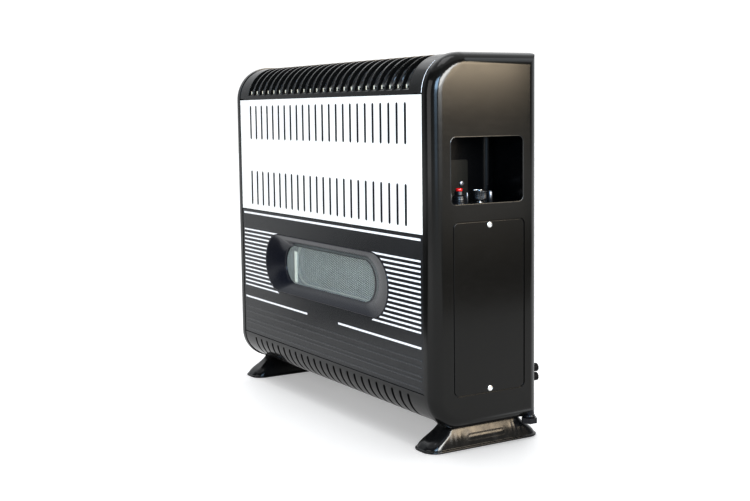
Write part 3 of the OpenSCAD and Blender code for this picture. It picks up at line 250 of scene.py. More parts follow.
PAINTS = {
    "black_enamel": dict(colour=(0.0042, 0.0039, 0.0034), rough=0.15, ior=1.36),
    "dark_panel": dict(colour=(0.0110, 0.0115, 0.0125), rough=0.24, ior=1.36, depth=0.000012),
    # cut: the near-black painted shade for the panel's slot walls
    "cream_panel": dict(colour=(0.86, 0.845, 0.81), rough=0.40, tint=0.015, edge=0, dust=0,
                        cut=(0.02, 0.02, 0.02)),
    "firebox_enamel": dict(colour=(0.03, 0.03, 0.033), rough=0.45),
    "white_print": dict(colour=(0.84, 0.82, 0.82), rough=0.38, tint=0.02, edge=0, dust=0),
    "surround_black": dict(colour=(0.0070, 0.0078, 0.0125), rough=0.21, ior=1.46, edge=0),
    "gloss_black": dict(colour=(0.0045, 0.0042, 0.0036), rough=0.10, ior=1.5, edge=0.1),
    # darker than the cheeks' black enamel: painted shade inside the niche
    "niche_black": dict(colour=(0.0012, 0.0012, 0.0014), rough=0.20, ior=1.27, edge=0),
    "plate_black": dict(colour=(0.0050, 0.0046, 0.0034), rough=0.34, ior=1.27, edge=0),
    # a darker, yellower copy of the cream paint for the hooks deep in the top grille's slots: painted shade
    # and warm light
    "hook_cream": dict(colour=(0.62, 0.57, 0.46), rough=0.45, edge=0, dust=0),
    "frame_grey": dict(colour=(0.105, 0.10, 0.125), rough=0.4),
    # black for the cloths on the floor; also for the guard's rim, where it is painted shade
    "frame_black": dict(colour=(0.012, 0.012, 0.013), rough=0.4, edge=0),
}
METALS = {
    "galvanised_sheet": dict(colour=(0.50, 0.51, 0.52), rough=0.40, spangle=115, tint=0.07),
    "bright_steel": dict(colour=(0.80, 0.80, 0.79), rough=0.2, spangle=300),
    "guard_steel": dict(colour=(0.56, 0.58, 0.52), rough=0.5, spangle=300, metallic=0.0),
    "burner_steel": dict(colour=(0.60, 0.59, 0.57), rough=0.3, spangle=40, stretch=(1, 12, 12)),
    "brass_fitting": dict(colour=(0.66, 0.50, 0.22), rough=0.28, spangle=200),
    "copper_tube": dict(colour=(0.66, 0.34, 0.20), rough=0.30, spangle=90),
    "valve_alloy": dict(colour=(0.56, 0.57, 0.58), rough=0.42, spangle=500),
    # a dark copy of bright steel for the screw and posts inside the niche: painted shade
    "dull_steel": dict(colour=(0.17, 0.17, 0.18), rough=0.46, spangle=300),
    "tab_steel": dict(colour=(0.56, 0.59, 0.52), rough=0.4, spangle=300, metallic=0.0),
}
MOULDINGS = {
    "foot_black": dict(colour=(0.0035, 0.0035, 0.0036), rough=0.17, depth=0.000004, edge=0.02, ior=1.4),
    "fibre_seal": dict(colour=(0.62, 0.60, 0.54), rough=0.85, grain=500, depth=0.0002),
    "refractory": dict(colour=(0.075, 0.078, 0.070), rough=0.8, grain=260, depth=0.0002),
    "lead_red": dict(colour=(0.42, 0.04, 0.03), rough=0.55),
    "knob_black": dict(colour=(0.004, 0.004, 0.0048), rough=0.30, depth=0.000006, edge=0.03, ior=1.33),
    "nut_black": dict(colour=(0.0035, 0.0035, 0.005), rough=0.16, edge=0.03, ior=1.36),
    "button_red": dict(colour=(0.50, 0.008, 0.008), rough=0.22, edge=0.05),
    "spacer_rubber": dict(colour=(0.0015, 0.0015, 0.0018), rough=0.45, grain=600, depth=0.00004, edge=0.005,
                          ior=1.2),
    # near black and hardly reflecting: the painted shadow of the seam strips
    "seal_black": dict(colour=(0.0008, 0.0008, 0.0008), rough=0.6, grain=600, depth=0.00004, edge=0, ior=1.1),
}


def make_materials():
    made = {"heat_glass": ceramic_glass()}
    for make, table in ((enamel, PAINTS), (sheet_metal, METALS), (moulded, MOULDINGS)):
        for name, values in table.items():
            made[name] = make(name, **values)
    return made


# ---------------------------------------------------------------- mesh helpers
def piece(name, verts, faces, slot, body="heater", instead=(), smooth=True, finish=None):
    """A piece from its mesh, parented to its body, with its finish's material or else its slot's, hiding the
    nodes that it stands for.
    """
    me = bpy.data.meshes.new(name)
    me.from_pydata([tuple(v) for v in verts], [], faces)
    me.validate()
    bm = bmesh.new()
    bm.from_mesh(me)
    bmesh.ops.remove_doubles(bm, verts=bm.verts, dist=1e-6)
    bmesh.ops.recalc_face_normals(bm, faces=bm.faces)
    bm.to_mesh(me)
    bm.free()
    for p in me.polygons:
        p.use_smooth = smooth
    ob = bpy.data.objects.new(name, me)
    bpy.context.scene.collection.objects.link(ob)
    me.materials.append(MAT[finish or slot])
    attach(ob, body)
    if instead:
        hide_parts(*instead)
    return ob


def soften(ob, width, angle=35, segments=2, dissolve=True):
    """Rounds the edges of a piece or a CAD node with modifiers, and shades it by face area."""
    if dissolve:
        w = ob.modifiers.new("weld", "WELD")
        w.merge_threshold = 1e-6
        d = ob.modifiers.new("flat", "DECIMATE")
        d.decimate_type = "DISSOLVE"
        d.angle_limit = math.radians(0.6)
    b = ob.modifiers.new("round", "BEVEL")
    b.width = width
    b.segments = segments
    b.limit_method = "ANGLE"
    b.angle_limit = math.radians(angle)
    b.miter_outer = "MITER_ARC"
    if dissolve:
        ob.modifiers.new("tri", "TRIANGULATE")
    n = ob.modifiers.new("normals", "WEIGHTED_NORMAL")
    n.weight = 80


def carve(ob, cutter_mesh, **settings):
    """Cuts a mesh out of a piece for good."""
    cutter = bpy.data.objects.new(cutter_mesh.name, cutter_mesh)
    bpy.context.scene.collection.objects.link(cutter)
    cut = ob.modifiers.new("cut", "BOOLEAN")
    cut.object = cutter
    cut.operation = "DIFFERENCE"
    cut.solver = "EXACT"
    for k, v in settings.items():
        setattr(cut, k, v)
    done = bpy.data.meshes.new_from_object(ob.evaluated_get(bpy.context.evaluated_depsgraph_get()))
    ob.modifiers.clear()
    ob.data = done
    bpy.data.objects.remove(cutter)


def stadium(half, r, n=32, straight=10):
    """Points of a stadium outline in x and z, from its right end round."""
    pts = []
    for i in range(n + 1):
        a = -math.pi / 2 + math.pi * i / n
        pts.append((half + r * math.cos(a), r * math.sin(a)))
    for i in range(1, straight):
        pts.append((half - 2 * half * i / straight, r))
    for i in range(n + 1):
        a = math.pi / 2 + math.pi * i / n
        pts.append((-half + r * math.cos(a), r * math.sin(a)))
    for i in range(1, straight):
        pts.append((-half + 2 * half * i / straight, -r))
    return pts


def loft(rings, closed=True):
    """Verts and faces of a loft through rings of equal length; closed joins the last ring to the first."""
    n = len(rings[0])
    verts = [p for r in rings for p in r]
    faces = []
    m = len(rings)
    for i in range(m if closed else m - 1):
        a, b = i * n, ((i + 1) % m) * n
        for j in range(n):
            k = (j + 1) % n
            faces.append((a + j, a + k, b + k, b + j))
    return verts, faces


def capped(rings):
    """A loft from the first ring to the last, with a face across each end."""
    verts, faces = loft(rings, closed=False)
    n = len(rings[0])
    return verts, faces + [tuple(range(n)), tuple(range(len(verts) - n, len(verts)))]


def add(verts, faces, more):
    """Adds another mesh's verts and faces to these lists."""
    k = len(verts)
    verts += more[0]
    faces += [tuple(k + j for j in q) for q in more[1]]


def window_ring(half, sections):
    """A closed loft round the window's outline, through sections of (depth, radius)."""
    return loft([[at(x, y, WIN_Z + z) for x, z in stadium(half, r)] for y, r in sections])


# ---------------------------------------------------------------- window
def make_bezel():
    """Recessed surround: rolled outer lip, funnel with a slight hollow, rolled inner lip, 1.5 mm sheet."""
    rows = [(2.4, 61.4), (1.5, 61.35), (0.75, 61.0), (0.45, 60.4), (0.5, 59.7), (0.95, 58.9)]
    for i in range(1, 10):
        t = i / 10
        hollow = math.sin(math.pi * t)
        rows.append((0.95 + 13.4 * t - 0.9 * hollow, 58.9 - 16.6 * t - 1.0 * hollow))
    rows += [(14.35, 42.3), (15.2, 41.25), (15.9, 40.4), (16.05, 40.05), (15.95, 39.9), (15.6, 41.5)]
    rows += [(14.2, 43.9), (2.6, 60.3)]
    rings = []
    for y, r in rows:
        half = WIN_HALF + (min(r, LIP_R) - WIN_R) / (LIP_R - WIN_R) * (LIP_HALF - WIN_HALF)
        rings.append([at(x, y, WIN_Z + z) for x, z in stadium(half, r)])
    verts, faces = loft(rings)
    add(verts, faces, window_ring(LIP_HALF, ((2.6, 61.2), (2.6, 67.9), (3.9, 67.9), (3.9, 61.2))))
    add(verts, faces, window_ring(WIN_HALF, ((14.5, 42.6), (14.5, 46.9), (15.9, 46.9), (15.9, 42.6))))
    piece("window_surround", verts, faces, "black_enamel", instead=["window_bezel"], finish="surround_black")


def make_guard():
    """Expanded-metal net with real strands, its plain rim, its bright left tab, and the mask behind it."""
    a, b = 4.4, 1.8  # half the width and half the height of a mesh opening
    verts, faces, index = [], [], {}

    def vert(m, n):
        if (m, n) not in index:
            index[(m, n)] = len(verts)
            lift = 0.25 if n % 2 else -0.25
            verts.append(at(a * m, 16.5 + lift, WIN_Z + b * n))
        return index[(m, n)]

    for n in range(-26, 27):
        for m in range(-44, 45):
            if (m + n) % 2:
                continue
            x, z = a * m, b * n
            d = math.hypot(max(0.0, abs(x) - WIN_HALF), z)
            if d < 44.0:
                faces.append((vert(m + 1, n), vert(m, n + 1), vert(m - 1, n), vert(m, n - 1)))
    net = piece("guard_net", verts, faces, "guard_steel", instead=["window_guard"])
    w = net.modifiers.new("strands", "WIREFRAME")
    w.thickness = 0.0010
    w.use_even_offset = False
    w.use_boundary = True
    # the rim is black, not the net's steel: painted shade where the net meets the surround
    rim = window_ring(WIN_HALF, ((16.1, 43.2), (16.1, 46.8), (17, 46.8), (17, 43.2)))
    piece("guard_rim", *rim, "guard_steel", finish="frame_black")
    v = []
    for x, y in ((-145.0, 14.8), (-132.0, 14.8), (-132.0, 15.8), (-145.0, 15.8)):
        v += [at(x, y, WIN_Z - 36), at(x, y, WIN_Z + 29)]
    f = [(0, 2, 3, 1), (2, 4, 5, 3), (4, 6, 7, 5), (6, 0, 1, 7), (0, 6, 4, 2), (1, 3, 5, 7)]
    tab = piece("guard_tab", v, f, "guard_steel", smooth=False, finish="tab_steel")
    soften(tab, 0.0002, dissolve=False)
    mask = window_ring(WIN_HALF, ((54.0, 40.0), (54.0, 62.0), (55.2, 62.0), (55.2, 40.0)))
    piece("flame_mask", *mask, "firebox_enamel", finish="frame_grey")


def rounded_outline(y0, y1, z0, z1, r, n=10):
    """Points of a rounded rectangle in y and z."""
    pts = []
    middles = ((y1 - r, z1 - r, 0), (y0 + r, z1 - r, 90), (y0 + r, z0 + r, 180), (y1 - r, z0 + r, 270))
    for cy, cz, a0 in middles:
        for i in range(n + 1):
            a = math.radians(a0 + 90 * i / n)
            pts.append((cy + r * math.cos(a), cz + r * math.sin(a)))
    return pts


def make_cover():
    """The access cover as a pressed sheet with a rolled edge, a little clear of the cheek all round."""
    rings = []
    front, rear, low, high = COVER_BOX
    rim = ((1.3, 397.2), (1.3, 398.6), (1.36, 399.0), (1.5, 399.3), (1.75, 399.5), (2.2, 399.55))
    for inset, x in rim + ((3.2, 399.5), (30, 399.5)):
        r = max(10 - inset, 1.0)
        outline = rounded_outline(front + inset, rear - inset, low + inset, high - inset, r)
        rings.append([at(x, y, z) for y, z in outline])
    ob = piece("pressed_cover", *capped(rings), "black_enamel", instead=["access_cover"])
    normals = ob.modifiers.new("normals", "WEIGHTED_NORMAL")
    normals.weight = 80


def make_trims():
    """Rolled niche edge, a white strip as a painted highlight at the top grille's right end, hooks in its
    slots, niche posts.
    """
    rings = []
    front, rear, low, high = NICHE_BOX
    roll = ((2.0, 399.8), (1.5, 400.25), (0.8, 400.5), (0.1, 400.45), (-0.35, 400.1), (-0.5, 399.4))
    for grow, x in roll + ((-0.5, 397.0), (1.0, 397.0)):
        outline = rounded_outline(front - grow, rear + grow, low - grow, high + grow, 10 + grow)
        rings.append([at(x, y, z) for y, z in outline])
    verts, faces = loft(rings)
    piece("niche_edge", verts, faces, "black_enamel", finish="gloss_black")

    # a white-painted strip on the seam at the top grille's right end, standing for a highlight there: a
    # painted highlight
    rings = []
    for i in range(25):
        a = math.radians(2 + 52 * i / 24)
        ring = []
        for r, dx in ((70.1, -1.0), (71.0, -0.8), (71.5, 0.15), (71.0, 0.8), (70.1, 0.9)):
            ring.append(at(369.3 + dx, 1 + TOP_R - r * math.cos(a), TOP_Z + r * math.sin(a)))
        rings.append(ring)
    piece("end_highlight_strip", *capped(rings), "bright_steel", finish="white_print")

    verts, faces = [], []
    for i in range(SLOTS):
        x = (i - (SLOTS - 1) / 2) * PITCH
        k = len(verts)
        for y, z in ((4.6, 635.6), (4.6, 642.0), (5.2, 642.8), (5.8, 642.0), (5.8, 635.6)):
            verts += [at(x - 1.5, y, z), at(x + 1.5, y, z)]
        sides = ((0, 1, 3, 2), (2, 3, 5, 4), (4, 5, 7, 6), (6, 7, 9, 8), (8, 9, 1, 0))
        faces += [tuple(k + j for j in q) for q in sides]
        faces += [tuple(k + j for j in (0, 2, 4, 6, 8)), tuple(k + j for j in (1, 9, 7, 5, 3))]
    # the hooks take a darker, yellower copy of the cream paint: painted shade and warm light
    piece("panel_hooks", verts, faces, "cream_panel", smooth=False, finish="hook_cream")

    verts, faces = [], []
    for x, y, r, top in ((345.0, 161.5, 4.4, 452.5), (350.0, 107.5, 2.0, 452.0), (350.0, 73.5, 1.2, 451.0)):
        profile = [(r, 430.0), (r, top - 3.0), (0.8 * r, top - 1.6), (0.75 * r, top - 0.6), (0.4 * r, top)]
        add(verts, faces, turned(profile, (x, y, 0), "z", 32))
    # the posts take the dark niche steel: painted shade
    piece("niche_terminals", verts, faces, "bright_steel", finish="dull_steel")


def make_low_grille():
    """Bottom grille: a curved band with 24 narrow slots, each closed by a round end below the front panel."""
    half, top, tail = 3.4, 93.5, 190.0  # half a slot's width, the height of its round end, its rear end
    rear, thick = 205, 8  # the band's rear edge and its thickness
    sole = LOW_Z - LOW_R

    def curve(r, angles):
        turns = [math.radians(a) for a in angles]
        return [(1 + LOW_R - r * math.cos(t), LOW_Z - r * math.sin(t)) for t in turns]

    profile = [(1, LOW_Z)] + curve(LOW_R, range(3, 91, 3))
    profile += [(rear, sole), (rear, sole + thick)] + curve(LOW_R - thick, range(90, -1, -3))
    band = capped([[at(x, y, z) for y, z in profile] for x in (-X_FIT, X_FIT)])
    ob = piece("slotted_low_grille", *band, "black_enamel", instead=["bottom_grille"])
    verts, faces = [], []
    for i in range(SLOTS):
        x = (i - (SLOTS - 1) / 2) * PITCH
        turns = [math.radians(a) for a in range(0, 181, 15)]
        outline = [(x - half, 40), (x + half, 40)]
        outline += [(x + half * math.cos(t), top + half * math.sin(t)) for t in turns]
        add(verts, faces, capped([[at(u, y, w) for u, w in outline] for y in (-2, tail)]))
    me = bpy.data.meshes.new("low_slots")
    me.from_pydata([tuple(v) for v in verts], [], faces)
    bm = bmesh.new()
    bm.from_mesh(me)
    bmesh.ops.recalc_face_normals(bm, faces=bm.faces)
    bm.to_mesh(me)
    bm.free()
    carve(ob, me)
    soften(ob, 0.0008)


def make_seam_shadow_strips():
    """Thin black strips between the front's right and left edges and the end shells, standing for the shadow
    in these seams: a painted shadow.
    """
    for side, s in (("left", -1), ("right", 1)):
        path = [(LOW_Z, LOW_R, a) for a in range(80, 0, -5)] + [(TOP_Z, TOP_R, a) for a in range(0, -61, -5)]
        rings = []
        for r, dx in ((-2.0, -0.2), (0.22, -0.2), (0.30, 0.2), (0.22, 0.9), (-2.0, 0.9)):
            ring = []
            for cz, radius, a in path:
                b = math.radians(a)
                y = 1 + radius - (radius + r) * math.cos(b)
                ring.append(at(s * (369.2 + dx), y, cz - (radius + r) * math.sin(b)))
            rings.append(ring)
        seal = capped([list(row) for row in zip(*rings)])
        piece("seam_shadow_strip_" + side, *seal, "spacer_rubber", finish="seal_black")


# ---------------------------------------------------------------- printed lines
def make_prints():
    """Printed stripes beside the window, a strip at the panel's top, and a broken line under the window."""
    verts, faces = [], []

    def bar(x0, x1, z0, z1, top0=None, top1=None):
        """A printed bar from x0 to x1; its top edge may differ from its bottom edge."""
        k = len(verts)
        right, left = x1 if top1 is None else top1, x0 if top0 is None else top0
        for y in (0.84, 1.0):
            verts.extend(at(x, y, z) for x, z in ((x0, z0), (x1, z0), (right, z1), (left, z1)))
        for q in ((0, 1, 2, 3), (4, 7, 6, 5), (0, 4, 5, 1), (1, 5, 6, 2), (2, 6, 7, 3), (3, 7, 4, 0)):
            faces.append(tuple(k + i for i in q))

    bar(-361.7, 361.7, 373.2, 377.4)
    for i in range(15):
        z = 337.8 - 8.9107 * i
        z0, z1 = z - 1.75, z + 1.75
        inner = []
        for zz in (z0, z1):
            clear = max(0.0, 62.6 ** 2 - (zz - WIN_Z) ** 2)  # the stripes end just outside the surround
            inner.append(LIP_HALF + math.sqrt(clear))
        for s in (-1, 1):
            bar(s * 361.2, s * inner[0], z0, z1, s * 361.2, s * inner[1])
    bar(-361.2, -65, 183.6, 187.6)
    bar(65, 361.2, 183.6, 187.6)
    piece("printed_lines", verts, faces, "cream_panel", smooth=False, finish="white_print")


# ---------------------------------------------------------------- feet
def rounded_ring(hx, hy, r, cx, cy, z, side=72, end=10, corner=14):
    """A rounded rectangle with a fixed number of points on each side, from the +x side's front end."""
    pts = []
    quarter = [math.pi / 2 * i / corner for i in range(corner)]
    ax, ay = hx - r, hy - r
    pts += [(hx, -ay + 2 * ay * i / side) for i in range(side)]
    pts += [(ax + r * math.cos(a), ay + r * math.sin(a)) for a in quarter]
    pts += [(ax - 2 * ax * i / end, hy) for i in range(end)]
    pts += [(-ax - r * math.sin(a), ay + r * math.cos(a)) for a in quarter]
    pts += [(-hx, ay - 2 * ay * i / side) for i in range(side)]
    pts += [(-ax - r * math.cos(a), -ay - r * math.sin(a)) for a in quarter]
    pts += [(-ax + 2 * ax * i / end, -hy) for i in range(end)]
    pts += [(ax + r * math.sin(a), -ay - r * math.cos(a)) for a in quarter]
    return [(cx + x, cy + y, z) for x, y in pts]


def hump(d, width):
    """A smooth ridge, 1 high at d = 0."""
    return math.exp(-(d / width) ** 2)


def foot_relief(y, z):
    """Pressed pattern on a foot's long sides: a shallow rounded pocket between two groups of ribs, in mm."""
    dy, dz = abs(y - FOOT_Y) - 36.0, abs(z - 19.0) - 0.5
    edge = math.hypot(max(dy, 0), max(dz, 0)) + min(max(dy, dz), 0) - 5.0
    relief = 0.30 * hump(edge, 3.4) - 0.35 / (1 + math.exp(edge / 1.2))
    for rib in (56.0, 64.0, 74.0):
        relief += 0.32 * hump(abs(y - FOOT_Y) - rib, 2.8) / (1 + math.exp((abs(z - 20) - 9) / 2.5))
    return relief


def make_foot(name, cx):
    """A foot about x = cx: rolled lip, leaning sides with their pressed pattern, seat under the casing."""
    lip = [(0.0, -1.2), (0.5, -0.3), (1.4, 0.0), (2.8, 0.0), (3.8, -0.5), (4.4, -1.6), (4.9, -2.4)]
    rings = [rounded_ring(6, 95, 5.0, cx, SOLE_Y, 0.0), rounded_ring(28, 117, 20, cx, SOLE_Y, 0.0)]
    rings += [rounded_ring(33.5 + d, 122.5 + d, 25, cx, SOLE_Y, z) for z, d in lip]
    steps = 26
    for i in range(steps + 1):
        t = i / steps
        s = t - 0.05 * math.sin(2 * math.pi * t)
        z = 5.4 + 33.6 * t
        front, rear = 1 + 2.6 + 41.4 * s, 246 - 2.6 - 36.4 * s
        hx = 30.9 - 10.9 * t + 0.9 * math.sin(math.pi * t)
        r = 23.5 - 11 * t
        ring = rounded_ring(hx, (rear - front) / 2, r, cx, (rear + front) / 2, z)
        lifted = []
        for x, y, zz in ring:
            flat = min(1.0, max(0.0, (abs(x - cx) - hx + 1.5) / 1.5))
            lifted.append((x + math.copysign(flat * foot_relief(y, zz), x - cx), y, zz))
        rings.append(lifted)
    top = [(19.2, 80.3, 11.8, 39.5), (19.0, 80.0, 11.5, 44.0), (6.0, 60.0, 5.0, 44.0)]
    rings += [rounded_ring(hx, hy, r, cx, FOOT_Y, z) for hx, hy, r, z in top]
    foot = capped([[at(*p) for p in ring] for ring in rings])
    piece(name, *foot, "foot_black", instead=[name.replace("detailed_", "")])


# ---------------------------------------------------------------- small turned pieces
def turned(profile, centre, axis, segments=48):
    """Verts and faces of a turned solid: profile is (radius, height) from its base, along axis 'x' or 'z'."""
    cx, cy, cz = centre
    rings = []
    for r, h in profile:
        ring = []
        for i in range(segments):
            a = 2 * math.pi * i / segments
            u, v = r * math.cos(a), r * math.sin(a)
            ring.append(at(cx + h, cy + u, cz + v) if axis == "x" else at(cx + u, cy + v, cz + h))
        rings.append(ring)
    return capped(rings)


def make_screw_heads():
    """Dome heads with a cross recess: two on the access cover, one on the pocket plate."""
    # the plate screw takes the dark niche steel: painted shade
    heads = (("cover_screw_low", (399.5, 119.8, 107.7), 5.5, ["dome_screws"], None),
             ("cover_screw_high", (399.5, 119.8, 397.8), 5.5, [], None),
             ("plate_screw", (296.2, 133.6, 464.0), 5.2, [], "dull_steel"))
    for name, (x, y, z), r, nodes, finish in heads:
        k = r / 5.5
        profile = [(5.3 * k, 0.0), (5.5 * k, 0.25), (5.4 * k, 0.9 * k)]
        dome = (0.25, 0.5, 0.8, 1.1, 1.35)
        profile += [(5.4 * k * math.cos(a), 0.9 * k + 2.0 * k * math.sin(a)) for a in dome]
        profile += [(0.5 * k, 2.9 * k)]
        ob = piece(name, *turned(profile, (x, y, z), "x", 40), "bright_steel", instead=nodes, finish=finish)
        bm = bmesh.new()
        depth, arm, half = 1.2 * k, 2.0 * k, 0.35 * k
        for turn in (0.4, 0.4 + math.pi / 2):
            c, s = math.cos(turn), math.sin(turn)
            corners = []
            for h in (3.2 * k - depth, 3.6 * k):
                for du, dv in ((-arm, -half), (arm, -half), (arm, half), (-arm, half)):
                    corners.append(bm.verts.new(at(x + h, y + du * c - dv * s, z + du * s + dv * c)))
            for q in BOX_FACES:
                bm.faces.new([corners[i] for i in q])
        me = bpy.data.meshes.new(name + "_cross")
        bm.to_mesh(me)
        bm.free()
        carve(ob, me, use_self=True)


def make_knob():
    """Knob, hollow below and fluted round its side, with a disc and a pointer on top."""
    teeth, per, groove = 24, 8, 0.8  # flutes, points on each, and their depth
    profile = [(11.2, 447.0, 0), (11.2, 437.2, 0), (11.4, 437.0, 0), (12.6, 437.0, 0), (12.9, 437.4, 0),
               (12.9, 439.6, 0), (12.9, 440.4, 1), (12.8, 451.5, 1), (12.6, 453.2, 0.6), (12.1, 454.3, 0),
               (11.3, 454.9, 0), (10.2, 455.0, 0), (9.6, 454.5, 0), (9.0, 454.4, 0)]
    rings = []
    for r, z, flute in profile:
        ring = []
        for i in range(teeth * per):
            a = 2 * math.pi * i / (teeth * per)
            rr = r - flute * groove * (0.5 - 0.5 * math.cos(teeth * a)) ** 2
            ring.append(at(CONTROL_X + rr * math.cos(a), KNOB_Y + rr * math.sin(a), z))
        rings.append(ring)
    piece("fluted_knob", *capped(rings), "knob_black", body="knob", instead=["gas_knob"])
    disc = [(6.6, 454.2), (6.6, 454.9), (6.3, 455.3), (5.8, 455.4), (2.0, 455.5)]
    piece("knob_disc", *turned(disc, (CONTROL_X, KNOB_Y, 0), "z", 56), "knob_black", body="knob",
          finish="bright_steel")
    outline = ((-0.8, -12.2), (0.8, -12.2), (0.8, -4), (-0.8, -4))
    corners = [at(CONTROL_X + x, KNOB_Y + y, z) for z in (454.2, 455.7) for x, y in outline]
    mark = piece("knob_mark", corners, BOX_FACES, "knob_black", body="knob", smooth=False,
                 finish="white_print")
    soften(mark, 0.0002, dissolve=False)


def make_igniter():
    """The igniter's stepped body, the ring round it, and its red button."""
    centre = (CONTROL_X, IGNITER_Y, 0)
    body = [(13.5, 430.0), (13.5, 433.0), (13.0, 434.2), (12.2, 435.0), (11.9, 444.0), (11.6, 446.2),
            (10.6, 447.4), (8.8, 447.9), (8.5, 448.6), (8.4, 454.0), (8.0, 454.8), (7.2, 455.0),
            (6.6, 454.7), (6.5, 453.0)]
    piece("igniter_case", *turned(body, centre, "z", 56), "knob_black", instead=["igniter_body"])
    rings = []
    for r, z in ((12.15, 438.2), (12.5, 438.6), (12.5, 439.4), (12.1, 439.8), (11.6, 439.0)):
        turns = [2 * math.pi * i / 56 for i in range(56)]
        rings.append([at(CONTROL_X + r * math.cos(t), IGNITER_Y + r * math.sin(t), z) for t in turns])
    piece("igniter_ring", *loft(rings), "knob_black")
    cap = [(6.2, 452.0), (6.2, 457.8), (6.0, 458.9), (5.4, 459.6), (4.4, 459.95), (3.0, 460.0), (1.0, 459.8)]
    piece("igniter_cap", *turned(cap, centre, "z", 48), "button_red", body="button",
          instead=["igniter_button"])


def make_inlet_sleeve():
    """Black sleeve round the gas pipe between the union nut and the cheek."""
    profile = [(9.6, 39.7), (10.4, 40.2), (10.4, 44.0), (9.0, 45.2), (7.2, 45.6), (7.2, 53.0)]
    piece("inlet_sleeve", *turned(profile, (INLET_X, INLET_Y, 0), "z", 40), "nut_black")


# ---------------------------------------------------------------- stage and light
def aim(ob, target):
    """Turns a light to face a point."""
    ob.rotation_euler = (Vector(target) - ob.location).to_track_quat("-Z", "Y").to_euler()


def area(name, where, target, size, power, colour=(1, 1, 1), height=None):
    """An area light that faces a point and isn't seen itself."""
    light = bpy.data.lights.new(name, "AREA")
    light.energy = power
    light.color = colour
    light.size = size
    if height:
        light.shape = "RECTANGLE"
        light.size_y = height
    ob = bpy.data.objects.new(name, light)
    ob.location = where
    ob.visible_camera = False
    bpy.context.scene.collection.objects.link(ob)
    aim(ob, target)
    return ob


def window(name, azimuth, half, colour, bands):
    """A bright window beside the camera: area lights stacked from bands of (low, high, radiance)."""
    eye, reach, lights = Vector((0.40, -0.10, 0.62)), 2.4, []
    for i, (low, high, radiance) in enumerate(bands):
        a, e = math.radians(azimuth), math.radians((low + high) / 2)
        place = eye + reach * Vector((math.cos(a) * math.cos(e), math.sin(a) * math.cos(e), math.sin(e)))
        width = 2 * reach * math.tan(math.radians(half))
        height = 2 * reach * math.tan(math.radians((high - low) / 2))
        power = radiance * math.pi * width * height
        lights.append(area(f"{name}_{i}", place, eye, width, power, colour, height))
    return lights


def spare_floor(lights):
    """Keeps these lights off the floor, as a flag below each would."""
    group = bpy.data.collections.new("floor_not_lit")
    group.objects.link(bpy.data.objects["studio_floor"])
    group.collection_objects[0].light_linking.link_state = "EXCLUDE"
    for light in lights:
        light.light_linking.receiver_collection = group


def make_floor():
    """Flat pale floor, a little brighter far off so that it runs into the pale background."""
    g = Graph("studio_floor")
    away = g.node("ShaderNodeVectorMath", operation="LENGTH")
    g.link(g.coord, away.inputs[0])
    paper = g.mix(g.noise(1.5, 3), (0.84, 0.84, 0.84), (0.88, 0.88, 0.88))
    far = g.ramp(away.outputs["Value"], 0.8, 3.0)
    g.link(g.mix(far, paper, (0.97, 0.97, 0.97)), g.bsdf.inputs["Base Color"])
    g.link(g.ramp(g.noise(9, 3), 0.3, 0.7, 0.55, 0.7), g.bsdf.inputs["Roughness"])
    g.set(Emission_Strength=0.34)
    bm = bmesh.new()
    bmesh.ops.create_grid(bm, x_segments=8, y_segments=8, size=14)
    me = bpy.data.meshes.new("studio_floor")
    bm.to_mesh(me)
    bm.free()
    ob = bpy.data.objects.new("studio_floor", me)
    me.materials.append(g.mat)
    bpy.context.scene.collection.objects.link(ob)


def make_cloths():
    """Two black cloths on the floor that show in reflections alone."""
    for name, corners in (("cloth_right", ((1.55, 0.50), (3.6, 0.50), (3.6, 3.2), (1.55, 3.2))),
                          ("cloth_front", ((-0.85, -0.50), (-3.5, -1.90), (-0.90, -4.30), (-0.28, -0.85)))):
        me = bpy.data.meshes.new(name)
        me.from_pydata([(x, y, 0.01) for x, y in corners], [], [(0, 1, 2, 3)])
        me.materials.append(MAT["frame_black"])
        cloth = bpy.data.objects.new(name, me)
        cloth.visible_camera = False
        cloth.visible_shadow = False
        cloth.visible_diffuse = False
        bpy.context.scene.collection.objects.link(cloth)


def make_world():
    """Pale room: even where the camera sees it, and otherwise bright toward the left rear alone."""
    world = bpy.data.worlds.new("studio")
    bpy.context.scene.world = world
    world.use_nodes = True
    tree = world.node_tree
    sky = tree.nodes["Background"]
    way = tree.nodes.new("ShaderNodeTexCoord").outputs["Generated"]
    dot = tree.nodes.new("ShaderNodeVectorMath")
    dot.operation = "DOT_PRODUCT"
    dot.inputs[1].default_value = (-0.857, 0.515, 0.0)
    tree.links.new(way, dot.inputs[0])
    rng = tree.nodes.new("ShaderNodeMapRange")
    rng.interpolation_type = "SMOOTHSTEP"
    tree.links.new(dot.outputs["Value"], rng.inputs["Value"])
    for sock, v in (("From Min", 0.1), ("From Max", 0.8), ("To Min", 0.12), ("To Max", 1.10)):
        rng.inputs[sock].default_value = v
    seen = tree.nodes.new("ShaderNodeMix")
    tree.links.new(tree.nodes.new("ShaderNodeLightPath").outputs["Is Camera Ray"], seen.inputs["Factor"])
    tree.links.new(rng.outputs["Result"], seen.inputs["A"])
    seen.inputs["B"].default_value = 1.10
    tree.links.new(seen.outputs["Result"], sky.inputs["Strength"])
    tint = tree.nodes.new("ShaderNodeMix")
    tint.data_type = "RGBA"
    tint.inputs["A"].default_value = (0.84, 0.92, 1.0, 1)
    tint.inputs["B"].default_value = (1, 1, 1, 1)
    tree.links.new(dot.outputs["Value"], tint.inputs["Factor"])
    tree.links.new(tint.outputs["Result"], sky.inputs["Color"])


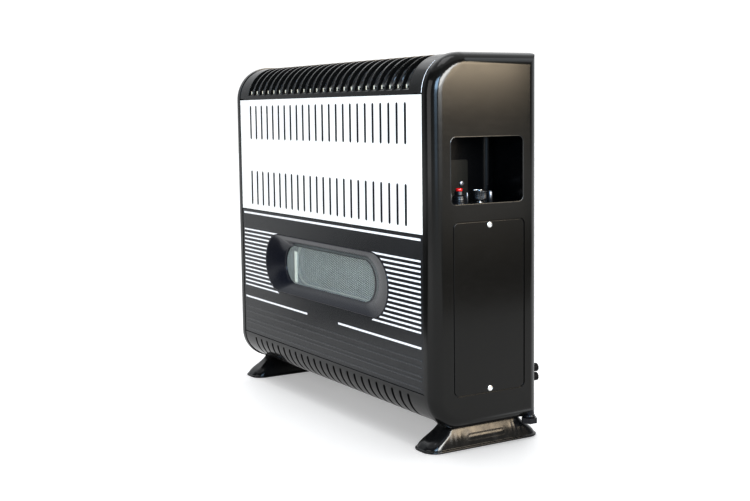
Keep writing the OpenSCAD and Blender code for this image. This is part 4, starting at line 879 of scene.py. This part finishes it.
def make_lights():
    """A soft box in front, one overhead, three windows at the right, and a broad dim sky."""
    area("front_box", (0.45, -2.95, 1.25), (0.2, 0, 0.45), 2.0, 40, (0.985, 0.97, 0.97), height=2.1)
    area("overhead", (0.3, -0.3, 2.9), (0.1, 0, 0.4), 1.3, 18)
    blue = ((8, 28, 27), (0.5, 8, 9), (-7, 0.5, 2.5))
    white = ((8, 23, 33), (0.5, 8, 13), (-7, 0.5, 1.6))
    warm = ((2.4, 22, 18), (0.0, 2.4, 4.6), (-4, 0.0, 0.9), (-14, -4, 0.45))
    windows = window("blue_window", -26, 12, (0.50, 0.74, 1.0), blue)
    windows += window("white_window", 12.5, 17, (1.0, 1.0, 0.98), white)
    windows += window("warm_window", 36, 5.5, (1.0, 0.83, 0.61), warm)
    spare_floor(windows)
    sun = bpy.data.lights.new("sky", "SUN")
    sun.energy = 1.5
    sun.angle = math.radians(100)
    ob = bpy.data.objects.new("sky", sun)
    ob.rotation_euler = (math.radians(-12), math.radians(-10), 0)
    bpy.context.scene.collection.objects.link(ob)


# ---------------------------------------------------------------- build
MAT = make_materials()
SLOT_OF = {p["node"]: p["material_slot"] for p in frame["record"]["subparts"]}
for node, ob in NODES.items():
    if not ob.material_slots:
        ob.data.materials.append(None)
    for s in ob.material_slots:
        s.material = MAT[SLOT_OF[node]]

# the pocket and the control nuts are painted darker than their own slots: painted shade in the niche
FINISHES = {"control_pocket": "niche_black", "pocket_plate": "plate_black", "control_nuts": "nut_black",
            "glass_frame": "frame_grey"}
for node, finish in FINISHES.items():
    for s in NODES[node].material_slots:
        s.material = MAT[finish]

# widths of the rounded edges on CAD nodes, in metres
SOFT = {"top_grille": 0.0009, "right_cheek": 0.0009, "left_cheek": 0.0009,
        "upper_front_panel": 0.0004, "lower_front_panel": 0.0005, "pocket_plate": 0.0003,
        "glass_frame": 0.0005, "union_nut": 0.0006, "control_pocket": 0.0008}
for node, width in SOFT.items():
    soften(NODES[node], width)

make_camera()
make_bezel()
make_guard()
make_cover()
make_trims()
make_low_grille()
make_seam_shadow_strips()
make_prints()
make_foot("detailed_left_foot", -FOOT_X)
make_foot("detailed_right_foot", FOOT_X)
make_screw_heads()
make_knob()
make_igniter()
make_inlet_sleeve()
make_floor()
make_cloths()
make_world()
make_lights()

scene = bpy.context.scene
scene.view_settings.view_transform = "Standard"
scene.view_settings.look = "None"
scene.view_settings.exposure = 0.0
scene.view_settings.gamma = 0.86
